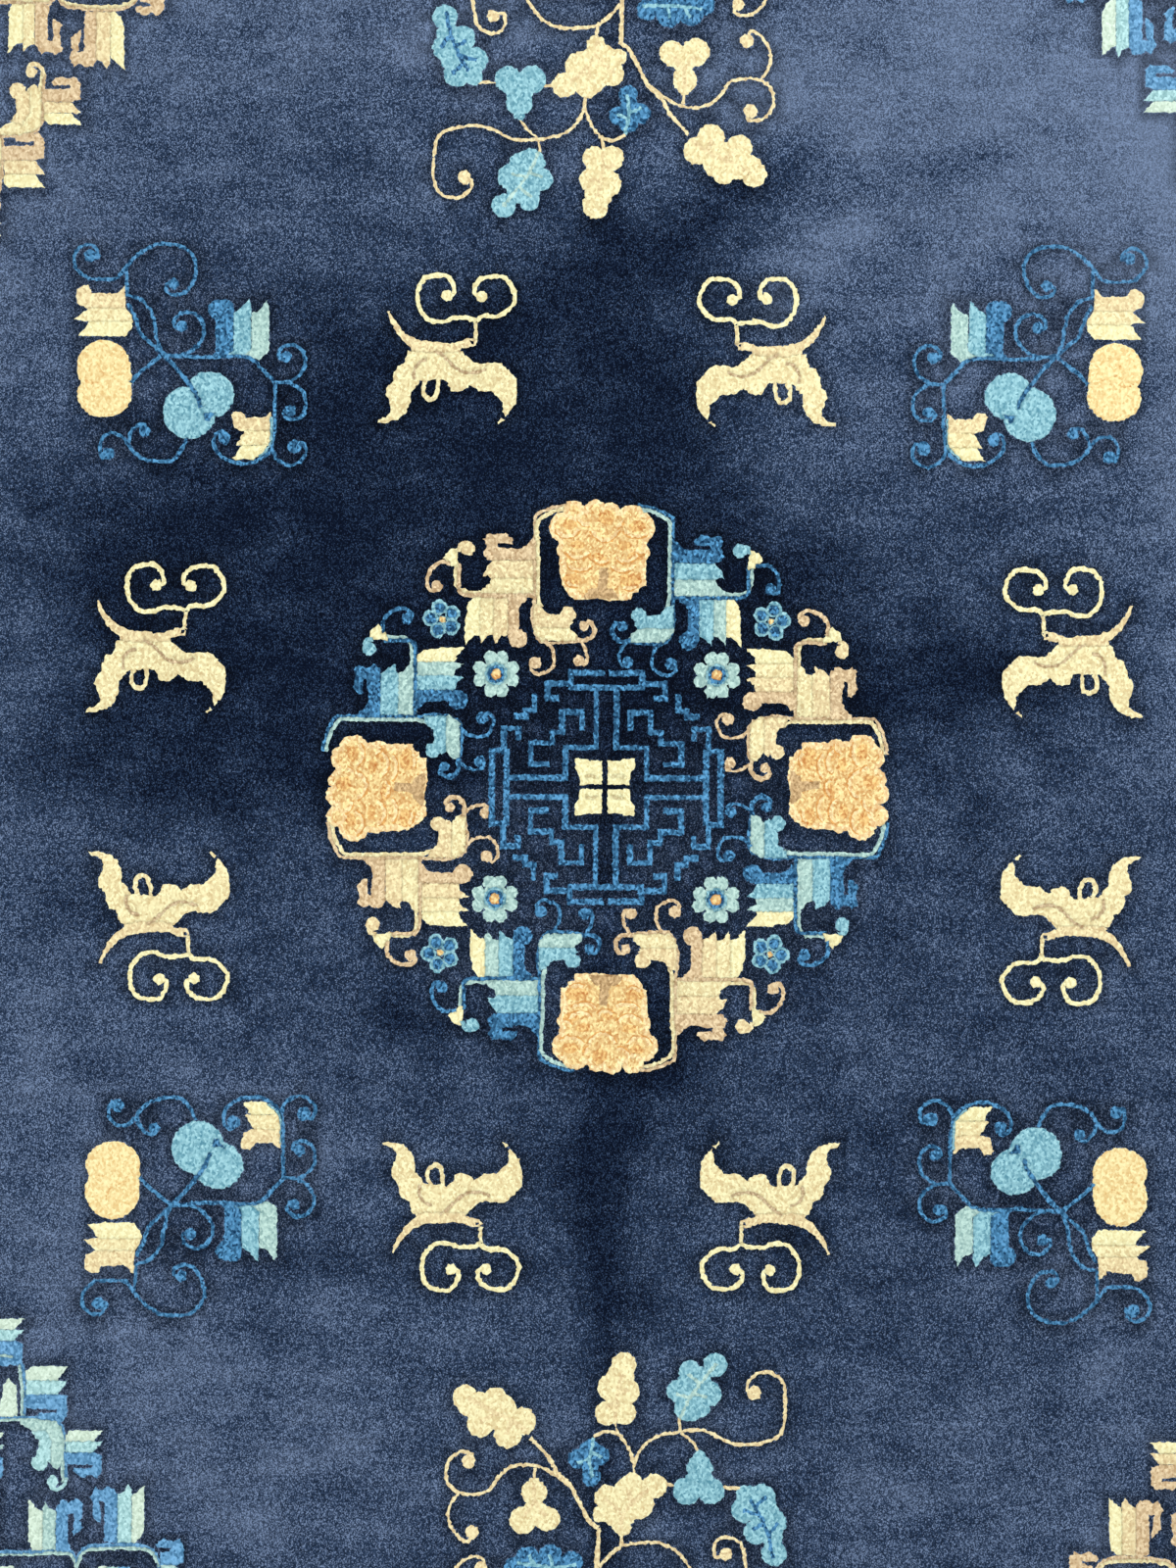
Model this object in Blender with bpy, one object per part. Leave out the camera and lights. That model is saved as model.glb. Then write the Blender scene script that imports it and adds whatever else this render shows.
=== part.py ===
"""Hand-knotted Chinese carpet, 9 by 12 feet, lying flat on a floor.

It is one woven thing: a cotton foundation that carries a cut wool pile. The weaver
overcasts the two long edges into a round selvedge and ends the carpet, at the top
and at the bottom, with a short web of bare foundation. The underside is flat where it
rests. The upper side has the soft folds of a carpet that was stored folded in half.

Metres, +X across the carpet, +Y along it, +Z up. The origin is the middle of the
underside.
"""

import math
from collections import namedtuple

import bmesh
import bpy
from mathutils import Vector

# Driving dimensions
RUG_WIDTH = 2.740
RUG_LENGTH = 3.660
PILE_TOP = 0.0125
WEB_LENGTH = 0.018
WEB_THICKNESS = 0.0030
SELVEDGE_WIDTH = 0.011
SELVEDGE_TOP = 0.0100
SELVEDGE_SIDE = 0.0055
NECK_WIDTH = 0.004
NECK_TOP = 0.0075
PILE_SHOULDER = 0.006

# How far the woven edges wander inwards from a straight line
SIDE_WANDER = 0.004
END_WANDER = 0.003
SIDE_WAVE = 1.15
END_WAVE = 0.95

# The fold down the middle, pressed in while the carpet was stored
CREASE_DEPTH = 0.0030
CREASE_HALF_WIDTH = 0.013
CREASE_SHOULDER = 0.0012
CREASE_SHOULDER_AT = 0.045
CREASE_SHOULDER_WIDTH = 0.020

# Spacing of the surface's rows and columns
COLUMN_SPACING = 0.062
ROW_SPACING = 0.078

# Soft folds and hollows of the carpet on its floor. Each row is one of them: its
# middle, the way it runs, its half length and half width, and how high it rises
Fold = namedtuple("Fold", "x y turn_deg half_length half_width rise")
FOLDS = (
    Fold(0.19, 0.87, 38.0, 0.24, 0.075, 0.0030),
    Fold(0.13, 0.70, 62.0, 0.20, 0.070, -0.0022),
    Fold(0.60, 0.66, 15.0, 0.20, 0.080, 0.0022),
    Fold(0.42, 0.33, 24.0, 0.26, 0.080, -0.0020),
    Fold(-0.56, 0.48, -12.0, 0.20, 0.075, 0.0022),
    Fold(-0.52, 0.26, 72.0, 0.22, 0.080, -0.0022),
    Fold(-0.62, -0.10, 20.0, 0.24, 0.085, 0.0024),
    Fold(-0.30, -0.62, -35.0, 0.22, 0.085, -0.0018),
    Fold(0.58, -0.52, 55.0, 0.26, 0.090, 0.0020),
    Fold(-0.78, 1.16, 30.0, 0.26, 0.090, 0.0020),
    Fold(0.86, 1.20, -40.0, 0.24, 0.090, -0.0018),
    Fold(-0.88, -1.14, -25.0, 0.26, 0.095, -0.0018),
    Fold(0.74, -1.24, 18.0, 0.26, 0.090, 0.0022),
)

# Wool's colour in the field, and how the pile takes the light
FIELD_COLOUR = (0.032, 0.054, 0.105, 1.0)
WOOL_ROUGHNESS = 0.92


def clear_scene():
    """Starts from an empty scene."""
    for thing in list(bpy.data.objects):
        bpy.data.objects.remove(thing, do_unlink=True)


def bell(distance, width):
    """A soft hump of height 1 that has died away at about 2.5 widths."""
    return math.exp(-0.5 * (distance / width) ** 2)


def fold_rise(x, y):
    """How far the folds lift or lower the pile at a place on the carpet."""
    rise = 0.0
    for fold in FOLDS:
        turn = math.radians(fold.turn_deg)
        dx = x - fold.x
        dy = y - fold.y
        along = dx * math.cos(turn) + dy * math.sin(turn)
        across = dy * math.cos(turn) - dx * math.sin(turn)
        rise += fold.rise * bell(along, fold.half_length) * bell(across, fold.half_width)
    return rise


def crease_rise(x):
    """The middle fold: a narrow trough between two low shoulders."""
    trough = -CREASE_DEPTH * bell(x, CREASE_HALF_WIDTH)
    shoulder = CREASE_SHOULDER * bell(abs(x) - CREASE_SHOULDER_AT, CREASE_SHOULDER_WIDTH)
    return trough + shoulder


def evenly(first, last, spacing):
    """Places from first to last, about spacing apart, with both ends."""
    count = max(1, round((last - first) / spacing))
    return [first + (last - first) * step / count for step in range(count + 1)]


def column_places():
    """Columns across the carpet, as (distance from the middle, top) for one half.

    They crowd at the middle crease and at the selvedge, where the form turns quickly.
    """
    crease = [0.5 * CREASE_HALF_WIDTH, 1.3 * CREASE_HALF_WIDTH, 2.3 * CREASE_HALF_WIDTH]
    half = RUG_WIDTH / 2
    neck = half - SELVEDGE_WIDTH
    pile_edge = neck - NECK_WIDTH
    field = evenly(CREASE_SHOULDER_AT, pile_edge - PILE_SHOULDER, COLUMN_SPACING)
    places = [(x, None) for x in crease + field]
    places.append((pile_edge, 0.5 * (NECK_TOP + PILE_TOP)))
    places.append((neck, NECK_TOP))
    places.append((half - 0.72 * SELVEDGE_WIDTH, SELVEDGE_TOP))
    places.append((half - 0.28 * SELVEDGE_WIDTH, SELVEDGE_TOP))
    places.append((half, SELVEDGE_SIDE))
    return places


def row_places():
    """Rows along the carpet, as (distance from the middle, top) for one half."""
    half = RUG_LENGTH / 2
    pile_end = half - WEB_LENGTH
    rows = evenly(ROW_SPACING / 2, pile_end - PILE_SHOULDER, ROW_SPACING)
    places = [(y, None) for y in rows]
    places.append((pile_end, 0.5 * (WEB_THICKNESS + PILE_TOP)))
    places.append((pile_end + 0.001, WEB_THICKNESS))
    places.append((half, WEB_THICKNESS))
    return places


def both_ways(half_places):
    """A half's (place, top) pairs on both sides of the middle, in order."""
    other = [(-place, top) for place, top in half_places]
    return sorted(other + half_places, key=lambda pair: pair[0])


def side_wander(y):
    """How far a long edge has wandered inwards at this row."""
    return 0.5 * SIDE_WANDER * (1 - math.cos(2 * math.pi * y / SIDE_WAVE + 0.6))


def end_wander(x):
    """How far an end has wandered inwards at this column."""
    return 0.5 * END_WANDER * (1 - math.cos(2 * math.pi * x / END_WAVE + 1.9))


def surface_point(column, row):
    """A point of the upper surface, where a column and a row cross."""
    column_x, column_top = column
    row_y, row_top = row
    pile = PILE_TOP + fold_rise(column_x, row_y) + crease_rise(column_x)
    tops = [pile]
    if column_top is not None:
        tops.append(column_top)
    if row_top is not None:
        tops.append(row_top)
    x = column_x * (1 - 2 * side_wander(row_y) / RUG_WIDTH)
    y = row_y * (1 - 2 * end_wander(column_x) / RUG_LENGTH)
    return Vector((x, y, min(tops)))


def build_carpet():
    """The carpet as one closed solid: its folded surface, pulled down to the floor."""
    columns = both_ways([(0.0, None)] + column_places())
    # The middle column stands on the axis, so it isn't doubled
    columns = [pair for i, pair in enumerate(columns) if i == 0 or pair[0] != columns[i - 1][0]]
    rows = both_ways(row_places())

    shape = bmesh.new()
    bmesh.ops.create_grid(
        shape, x_segments=len(columns) - 1, y_segments=len(rows) - 1, size=0.5
    )
    # The grid's own places tell which column and row each of its points is
    for point in shape.verts:
        column = round((point.co.x + 0.5) * (len(columns) - 1))
        row = round((point.co.y + 0.5) * (len(rows) - 1))
        point.co = surface_point(columns[column], rows[row])

    upper = list(shape.faces)
    pulled = bmesh.ops.extrude_face_region(shape, geom=upper)
    under_points = [item for item in pulled["geom"] if isinstance(item, bmesh.types.BMVert)]
    under_faces = [item for item in pulled["geom"] if isinstance(item, bmesh.types.BMFace)]
    for point in under_points:
        point.co.z = 0.0
    # The underside is one flat face, where the carpet rests
    bmesh.ops.dissolve_faces(shape, faces=under_faces, use_verts=False)
    bmesh.ops.recalc_face_normals(shape, faces=list(shape.faces))

    mesh = bpy.data.meshes.new("rug")
    shape.to_mesh(mesh)
    shape.free()
    mesh.shade_smooth()
    mesh.set_sharp_from_angle(angle=math.radians(40))
    rug = bpy.data.objects.new("rug", mesh)
    bpy.context.scene.collection.objects.link(rug)
    return rug


def wool_material():
    """Matt wool in the carpet's deep field blue."""
    wool = bpy.data.materials.new("navy_wool_pile")
    wool.use_nodes = True
    shader = wool.node_tree.nodes["Principled BSDF"]
    shader.inputs["Base Color"].default_value = FIELD_COLOUR
    shader.inputs["Roughness"].default_value = WOOL_ROUGHNESS
    shader.inputs["Metallic"].default_value = 0.0
    return wool


def main():
    clear_scene()
    rug = build_carpet()
    rug.data.materials.append(wool_material())


main()
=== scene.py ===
# %% [markdown]
# # A hand-knotted Chinese carpet
#
# The real object is a wool carpet of about 9 by 12 feet, in deep navy, with a round
# medallion, butterflies, fruit sprays, vines and corner pieces. Its weaver tied every
# knot by hand after a chart, and then carved a groove round each figure with shears.
#
# This lesson makes it the same way. It charts each motif, lays the motifs out over the
# field, divides the pile wherever two dyes meet, and carves those lines. The packed
# model gives the carpet's size and the place of its folds, so nothing is fitted later.

# %% Load the carpet's solid
import math
from collections import namedtuple

import bmesh
import bpy
import numpy as np
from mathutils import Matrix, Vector, noise
from mathutils.geometry import delaunay_2d_cdt
from mathutils.kdtree import KDTree


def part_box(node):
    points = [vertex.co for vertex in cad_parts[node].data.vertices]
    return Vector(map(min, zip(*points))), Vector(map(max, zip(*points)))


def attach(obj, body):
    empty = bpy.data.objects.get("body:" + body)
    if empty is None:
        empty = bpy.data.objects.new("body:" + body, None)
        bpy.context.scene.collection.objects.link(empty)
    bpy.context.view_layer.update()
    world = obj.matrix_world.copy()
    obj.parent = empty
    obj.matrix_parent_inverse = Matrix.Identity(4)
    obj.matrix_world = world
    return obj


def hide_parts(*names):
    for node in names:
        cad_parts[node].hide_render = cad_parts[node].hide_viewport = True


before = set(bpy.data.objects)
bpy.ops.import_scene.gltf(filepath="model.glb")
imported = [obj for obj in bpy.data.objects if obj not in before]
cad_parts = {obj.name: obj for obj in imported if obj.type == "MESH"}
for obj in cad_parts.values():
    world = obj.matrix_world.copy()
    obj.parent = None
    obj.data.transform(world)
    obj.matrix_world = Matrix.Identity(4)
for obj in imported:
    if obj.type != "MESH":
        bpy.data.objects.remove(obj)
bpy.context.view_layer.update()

_, rug_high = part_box("rug")
RUG_WIDTH = 2 * rug_high[0]
# As woven. The ends wander up to 3 mm inwards from it
RUG_LENGTH = 3.660
print("carpet", round(RUG_WIDTH, 3), "by", round(RUG_LENGTH, 3), "m")

# %% [markdown]
# ## Sizes of the weave
#
# A carpet's fineness is told in knots to the foot. This one has about 53, which makes a
# knot 5.75 mm wide and high. Every step in the drawing comes from that one number: a
# stem is one or two knots wide, and an outline turns from knot to knot. The tips of the
# pile are 12.5 mm above the floor, over a cotton foundation of 2.8 mm. The edges are
# those of the solid.

# %% Sizes in metres
MM = 0.001
KNOT = 0.3048 / 53
KNOT_MM = KNOT / MM
PILE_TOP = 0.0125
FOUNDATION_TOP = 0.0028
SELVEDGE_WIDTH = 0.011
NECK_WIDTH = 0.004
WEB_LENGTH = 0.018
PILE_HALF_X = RUG_WIDTH / 2 - SELVEDGE_WIDTH - 0.5 * NECK_WIDTH
PILE_HALF_Y = RUG_LENGTH / 2 - WEB_LENGTH
FIELD_HALF_X = 1.070
FIELD_HALF_Y = 1.530
print("knot", round(KNOT_MM, 2), "mm; pile", round(2 * PILE_HALF_X, 3), "by", 2 * PILE_HALF_Y)

# %% [markdown]
# ## The way it lies
#
# The carpet was stored folded in half, which left one long crease down its middle. It
# has soft folds besides. They are the solid's own folds, so this part repeats its short
# table: a middle, the way the fold runs, its half length and half width, and its rise.
# The woven edges also wander a few millimetres, as on any loom.

# %% Folds, crease and wandering edges
Fold = namedtuple("Fold", "x y turn_deg half_length half_width rise")
FOLDS = (
    Fold(0.19, 0.87, 38.0, 0.24, 0.075, 0.0030),
    Fold(0.13, 0.70, 62.0, 0.20, 0.070, -0.0022),
    Fold(0.60, 0.66, 15.0, 0.20, 0.080, 0.0022),
    Fold(0.42, 0.33, 24.0, 0.26, 0.080, -0.0020),
    Fold(-0.56, 0.48, -12.0, 0.20, 0.075, 0.0022),
    Fold(-0.52, 0.26, 72.0, 0.22, 0.080, -0.0022),
    Fold(-0.62, -0.10, 20.0, 0.24, 0.085, 0.0024),
    Fold(-0.30, -0.62, -35.0, 0.22, 0.085, -0.0018),
    Fold(0.58, -0.52, 55.0, 0.26, 0.090, 0.0020),
    Fold(-0.78, 1.16, 30.0, 0.26, 0.090, 0.0020),
    Fold(0.86, 1.20, -40.0, 0.24, 0.090, -0.0018),
    Fold(-0.88, -1.14, -25.0, 0.26, 0.095, -0.0018),
    Fold(0.74, -1.24, 18.0, 0.26, 0.090, 0.0022),
)
CREASE_DEPTH = 0.0030
CREASE_HALF_WIDTH = 0.013
CREASE_SHOULDER = 0.0012
CREASE_SHOULDER_AT = 0.045
CREASE_SHOULDER_WIDTH = 0.020
SIDE_WANDER = 0.004
END_WANDER = 0.003
SIDE_WAVE = 1.15
END_WAVE = 0.95
SIDE_PHASE = 0.6
END_PHASE = 1.9


def bell(distance, width):
    """A soft hump of height 1 that has died away at about 2.5 widths."""
    return np.exp(-0.5 * (distance / width) ** 2)


def bump(x, y, middle_x, middle_y, turn_deg, half_length, half_width):
    """A long soft hump of height 1, turned by some degrees."""
    turn = math.radians(turn_deg)
    along = (x - middle_x) * math.cos(turn) + (y - middle_y) * math.sin(turn)
    across = (y - middle_y) * math.cos(turn) - (x - middle_x) * math.sin(turn)
    return bell(along, half_length) * bell(across, half_width)


def lie(x, y):
    """How far the folds and the crease lift or lower the carpet at these places."""
    rise = -CREASE_DEPTH * bell(x, CREASE_HALF_WIDTH)
    rise = rise + CREASE_SHOULDER * bell(abs(x) - CREASE_SHOULDER_AT, CREASE_SHOULDER_WIDTH)
    for fold in FOLDS:
        rise = rise + fold.rise * bump(x, y, *fold[:5])
    return rise


def wander(x, y):
    """The same places on the carpet as woven, with its slightly crooked edges."""
    side = 0.5 * SIDE_WANDER * (1 - np.cos(2 * np.pi * y / SIDE_WAVE + SIDE_PHASE))
    end = 0.5 * END_WANDER * (1 - np.cos(2 * np.pi * x / END_WAVE + END_PHASE))
    return x * (1 - 2 * side / RUG_WIDTH), y * (1 - 2 * end / RUG_LENGTH)


print("the crease lies", round(-1000 * float(lie(0.0, 0.0)), 1), "mm below the pile")

# %% [markdown]
# ## A weaver's chart
#
# A carpet designer draws each motif once, as areas of flat colour. Here a chart is a
# list of dyed shapes in millimetres, each drawn over the ones before it. Five strokes
# are enough: a patch with straight sides, a round lobe, a stem, a stem that ends in a
# bud, and the square line of a fret. Sides are cut into short steps, two thirds of a
# knot long, so that a knot's ragged edge can show.

# %% Strokes
STEP_MM = KNOT_MM * 2 / 3


def stepped(corners, step_mm):
    """The outline through these corners, with a point at about every step."""
    outline = []
    for i, (x0, y0) in enumerate(corners):
        x1, y1 = corners[(i + 1) % len(corners)]
        steps = max(1, round(math.hypot(x1 - x0, y1 - y0) / step_mm))
        for step in range(steps):
            share = step / steps
            outline.append((x0 + (x1 - x0) * share, y0 + (y1 - y0) * share))
    return outline


def smooth(points):
    """A smooth line through these points, with a point at about every step."""
    line = []
    ends = [points[0], *points, points[-1]]
    for before, start, stop, after in zip(ends, ends[1:], ends[2:], ends[3:]):
        steps = max(1, round(math.dist(start, stop) / STEP_MM))
        for step in range(steps):
            t = step / steps
            line.append(
                tuple(
                    0.5 * (2 * b + (c - a) * t + (2 * a - 5 * b + 4 * c - d) * t**2
                           + (3 * b - a - 3 * c + d) * t**3)
                    for a, b, c, d in zip(before, start, stop, after)
                )
            )
    line.append(tuple(points[-1]))
    return line


class Chart:
    """A motif: dyed shapes in millimetres, each drawn over the ones before it."""

    def __init__(self, step_mm=STEP_MM):
        self.shapes = []
        self.step_mm = step_mm

    def patch(self, dye, *corners):
        """A shape with straight sides."""
        self.shapes.append((dye, stepped(corners, self.step_mm)))

    def lobe(self, dye, x, y, wide, tall=None, turn=0.0):
        """A round shape: half its width and half its height, turned by some degrees."""
        tall = wide if tall is None else tall
        count = max(8, round(math.pi * (wide + tall) / STEP_MM))
        c, s = math.cos(math.radians(turn)), math.sin(math.radians(turn))
        outline = []
        for i in range(count):
            u = wide * math.cos(2 * math.pi * i / count)
            v = tall * math.sin(2 * math.pi * i / count)
            outline.append((x + u * c - v * s, y + u * s + v * c))
        self.shapes.append((dye, outline))

    def lobes(self, dye, *rounds):
        """Several round lobes that grow together."""
        for x, y, radius in rounds:
            self.lobe(dye, x, y, radius)

    def stem(self, dye, width, *points, tip=None):
        """A smooth stem, as a chain of four-sided steps. It may taper to tip."""
        line = smooth(points)
        last = len(line) - 1
        sides = []
        for i, (x, y) in enumerate(line):
            ax, ay = line[max(0, i - 1)]
            bx, by = line[min(last, i + 1)]
            along = math.hypot(bx - ax, by - ay) or 1.0
            wide = width if tip is None else width + (tip - width) * i / last
            u, v = -(by - ay) / along * wide / 2, (bx - ax) / along * wide / 2
            sides.append(((x + u, y + v), (x - u, y - v)))
        for (a, b), (c, d) in zip(sides, sides[1:]):
            self.shapes.append((dye, [a, b, d, c]))

    def curl(self, dye, width, bud, *points):
        """A stem that winds up into a round bud."""
        self.stem(dye, width, *points)
        self.lobe(dye, *points[-1], bud)

    def bar(self, dye, width, *points):
        """A fret's line, with square ends and corners."""
        half = width / 2
        for (x0, y0), (x1, y1) in zip(points, points[1:]):
            low_x, high_x = min(x0, x1) - half, max(x0, x1) + half
            low_y, high_y = min(y0, y1) - half, max(y0, y1) + half
            self.patch(dye, (low_x, low_y), (high_x, low_y), (high_x, high_y), (low_x, high_y))


print("one step of an outline:", round(STEP_MM, 2), "mm")

# %% [markdown]
# ## Laying motifs out
#
# The designer turns and mirrors the same few charts over the field, and changes their
# colours as they go. The banded leaves come in two sets of four shades, from dark to
# light: a cream set and a blue set. A chart names the shades one to four, and the set
# is chosen where it is placed. A placed outline is pulled a little towards the knots'
# own grid and strays a little, which gives the ragged edge of a knotted drawing.
#
# A dye is more than a colour. Yarn from one bath is uneven, so each dye mixes two
# colours, partly in soft mottles and partly as a speckle from grain to grain. Dark wool
# shows its grain of lit tips and dark gaps far more than pale wool does, and shows the
# lie of its nap. Both are painted into the dye's colour: painted highlights on the tips,
# painted shade in the gaps, and painted sheen and shade where the nap leans. The cut end
# of a yarn is under 1 mm wide, too fine to show in the render, so a grain is drawn as
# coarse as it needs to show: 1.3 mm in the navy ground and 3 mm in the figures.

# %% Dyes and placing
Dye = namedtuple("Dye", "colour mottle mottling speckle grain nap cell_mm")
DYES = {
    "navy": Dye("#273851", "#212f46", 0.10, 0.20, 0.90, 1.00, 1.3),
    "deep_blue": Dye("#5c9fcc", "#0f385c", 0.25, 0.80, 0.40, 0.20, 3.0),
    "mid_blue": Dye("#7cb4dc", "#376a90", 0.25, 0.75, 0.20, 0.08, 3.0),
    "sky_blue": Dye("#a6d6dc", "#5490a4", 0.25, 0.75, 0.18, 0.06, 3.0),
    "pale_sky": Dye("#c0e8e6", "#84b0b2", 0.25, 0.75, 0.14, 0.05, 3.0),
    "mint": Dye("#c6e4d8", "#88aca8", 0.30, 0.70, 0.14, 0.04, 3.0),
    "celadon": Dye("#dff2de", "#b4c8b4", 0.30, 0.70, 0.10, 0.04, 3.0),
    "ivory": Dye("#fbfac8", "#e2d298", 0.30, 0.70, 0.10, 0.04, 3.0),
    "cream": Dye("#fbf7c4", "#d8bf8a", 0.30, 0.70, 0.12, 0.05, 3.0),
    "sand": Dye("#faefbc", "#d0b384", 0.35, 0.65, 0.14, 0.05, 3.0),
    "tan": Dye("#efdab0", "#b8966c", 0.35, 0.65, 0.18, 0.06, 3.0),
    "fruit_gold": Dye("#fbf3b8", "#e2ba78", 0.30, 0.70, 0.10, 0.05, 3.0),
    "gold": Dye("#fdeeac", "#d0904e", 0.35, 0.65, 0.14, 0.05, 3.0),
    "pale_gold": Dye("#fdf3bc", "#e0ac70", 0.30, 0.70, 0.12, 0.04, 3.0),
    "apricot": Dye("#f8da90", "#c87c3e", 0.35, 0.65, 0.14, 0.05, 3.0),
    "peach": Dye("#e8b46c", "#cc8a48", 0.40, 0.60, 0.14, 0.05, 3.0),
    "fawn": Dye("#ddbe8e", "#9e7a4e", 0.40, 0.60, 0.20, 0.06, 3.0),
}
GOLDS = ("fruit_gold", "gold", "pale_gold", "apricot", "peach", "fawn")
CREAM_SET = {"one": "tan", "two": "sand", "three": "cream", "four": "ivory"}
BLUE_SET = {"one": "deep_blue", "two": "sky_blue", "three": "mint", "four": "ivory"}
CORNER_BLUES = {"one": "mid_blue", "two": "pale_sky", "three": "mint", "four": "celadon"}
GRID_PULL = 0.30
STRAY = 0.0026
STRAY_GRAIN = 0.0031
NEXT_NOISE = Vector((71.3, 38.9, 5.7))

Shape = namedtuple("Shape", "dye piece outline")
layout = []


def knotted(x, y):
    """A place pulled part of the way to the grid of knots, and strayed from it."""
    spot = Vector((x, y, 0.0)) / STRAY_GRAIN
    x += GRID_PULL * (round(x / KNOT) * KNOT - x) + STRAY * noise.noise(spot)
    y += GRID_PULL * (round(y / KNOT) * KNOT - y) + STRAY * noise.noise(spot + NEXT_NOISE)
    return x, y


def place(piece, chart, at=(0.0, 0.0), mirror=(1, 1), swap=False, shades=None):
    """Lays a chart out on the carpet, at a place in millimetres from its middle."""
    shades = shades or {}
    for dye, outline in chart.shapes:
        placed = []
        for x, y in outline:
            if swap:
                x, y = y, x
            placed.append(knotted(MM * (at[0] + mirror[0] * x), MM * (at[1] + mirror[1] * y)))
        layout.append(Shape(shades.get(dye, dye), piece, placed))


print(len(DYES), "dyes in the chart")

# %% [markdown]
# ## Borders
#
# The photograph stops short of the border, so it is finished plainly: navy wool with two
# narrow guard stripes, one at the edge of the field and one near the edge of the carpet.

# %% Guard stripes
OUTER_GUARD_IN = 0.045
BLUE_GUARD_OUT_MM = 14
CREAM_GUARD_OUT_MM = 26


def guard(chart, dye, half_x, half_y, width):
    """A stripe that runs round the carpet, its sides this far from the middle."""
    corners = ((-half_x, -half_y), (half_x, -half_y), (half_x, half_y), (-half_x, half_y))
    chart.bar(dye, width, *corners, corners[0])


field_x, field_y = FIELD_HALF_X / MM, FIELD_HALF_Y / MM
outer_x, outer_y = (PILE_HALF_X - OUTER_GUARD_IN) / MM, (PILE_HALF_Y - OUTER_GUARD_IN) / MM
guards = Chart(step_mm=4 * KNOT_MM)
guard(guards, "deep_blue", field_x + BLUE_GUARD_OUT_MM, field_y + BLUE_GUARD_OUT_MM, 2 * KNOT_MM)
guard(guards, "cream", field_x + CREAM_GUARD_OUT_MM, field_y + CREAM_GUARD_OUT_MM, KNOT_MM)
guard(guards, "deep_blue", outer_x, outer_y, 2 * KNOT_MM)
place("guard_stripes", guards)
print("outer guard", round(2 * outer_x), "by", round(2 * outer_y), "mm")

# %% [markdown]
# ## The medallion's leaf scrolls
#
# Beside each peony a square stem runs down from the flower's top. It carries a fan of
# banded leaves on its outer side, a second fan that hangs towards the middle, a lobed
# leaf at its foot and a side shoot with a bud. All eight scrolls of the medallion are
# this one chart, so it is drawn once, for the right side of the upper flower.

# %% Leaf scroll
scroll = Chart()
scroll.patch("three", (116, 300), (206, 301), (200, 311), (187, 320), (184, 331), (116, 331))
scroll.patch("two", (116, 329), (184, 329), (190, 334), (198, 332), (193, 345), (183, 357), (116, 357))
scroll.patch(
    "one", (116, 357), (184, 357), (192, 359), (198, 368), (192, 381), (197, 392), (190, 400),
    (180, 397), (162, 401), (150, 391), (151, 385), (174, 385), (176, 379), (140, 376),
    (129, 382), (120, 392), (116, 392),
)
scroll.patch("four", (212, 300), (222, 288), (225, 262), (225, 224), (212, 238), (202, 240),
             (202, 300))
scroll.patch("three", (202, 300), (202, 240), (200, 225), (190, 239), (181, 240), (181, 300))
scroll.patch("two", (181, 300), (181, 240), (178, 225), (168, 237), (158, 240), (158, 300))
scroll.patch("one", (158, 300), (158, 236), (140, 240), (140, 282), (136, 290), (128, 295),
             (128, 300))
scroll.lobe("one", 142, 234, 15)
scroll.stem("one", 5, (60, 448), (84, 443), (102, 436), (115, 427), (116, 402), (116, 360),
            (116, 325), (116, 300), (119, 270), (114, 243), (103, 229), (74, 228), (46, 232))
scroll.stem("three", 6, (60, 442), (84, 437), (100, 429), (111, 420), (112, 398), (111, 360),
            (111, 325), (111, 300), (106, 284))
scroll.stem("three", 5, (200, 308), (224, 308), (239, 316), (241, 334), (241, 352))
scroll.stem("one", 6, (118, 302), (160, 302), (196, 302), (226, 303), (236, 311), (236, 334),
            (236, 352))
scroll.patch("four", (252, 373), (238, 377), (236, 346), (250, 350), (260, 361))
scroll.curl("two", 7, 11, (238, 370), (235, 380), (227, 383), (222, 376))
scroll.curl("one", 6, 9, (248, 352), (266, 354), (280, 343), (286, 328), (284, 313), (276, 308),
            (271, 316))
scroll.patch("two", (117, 290), (106, 287), (97, 274), (72, 272), (55, 260), (61, 252),
             (117, 252))
scroll.lobe("two", 63, 273, 12)
scroll.patch("three", (117, 252), (61, 252), (49, 241), (44, 231), (104, 230), (113, 238),
             (118, 248))
scroll.curl("one", 7, 8, (50, 234), (34, 232), (22, 241), (21, 253), (29, 262), (37, 255))
scroll.curl("one", 5, 9.5, (100, 231), (88, 219), (84, 203), (87, 188), (100, 180), (112, 178),
            (122, 187), (114, 196))
scroll.curl("one", 5, 9, (44, 232), (34, 216), (32, 202), (37, 193), (45, 199))

# Each quarter of the medallion has an upright and a level scroll. The weaver counted
# knots by eye, so every scroll stands a little off its place
QUARTERS = ((1, 1), (1, -1), (-1, -1), (-1, 1))
Scrolls = namedtuple("Scrolls", "mirror upright upright_at level level_at")
SCROLLS = (
    Scrolls((1, 1), BLUE_SET, (-16, -4), CREAM_SET, (-7, -9)),
    Scrolls((1, -1), CREAM_SET, (-8, -5), BLUE_SET, (-5, 3)),
    Scrolls((-1, -1), BLUE_SET, (8, -5), CREAM_SET, (4, 0)),
    Scrolls((-1, 1), CREAM_SET, (-3, -3), BLUE_SET, (-5, -9)),
)
for pair in SCROLLS:
    place("medallion", scroll, mirror=pair.mirror, shades=pair.upright, at=pair.upright_at)
    place("medallion", scroll, mirror=pair.mirror, shades=pair.level, at=pair.level_at,
          swap=True)
print("scroll", len(scroll.shapes), "shapes")

# %% [markdown]
# ## Peonies
#
# The four peonies are clouds of overlapping petals, in gold wool with deeper places of
# apricot. A pale rim runs round the whole flower. Each petal shows by a part of its lower
# edge: a thin peach lip, with a pale stripe just inside it. A fawn stalk that spreads
# into a foot turns to the middle of the medallion. One chart serves all four flowers.

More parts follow.
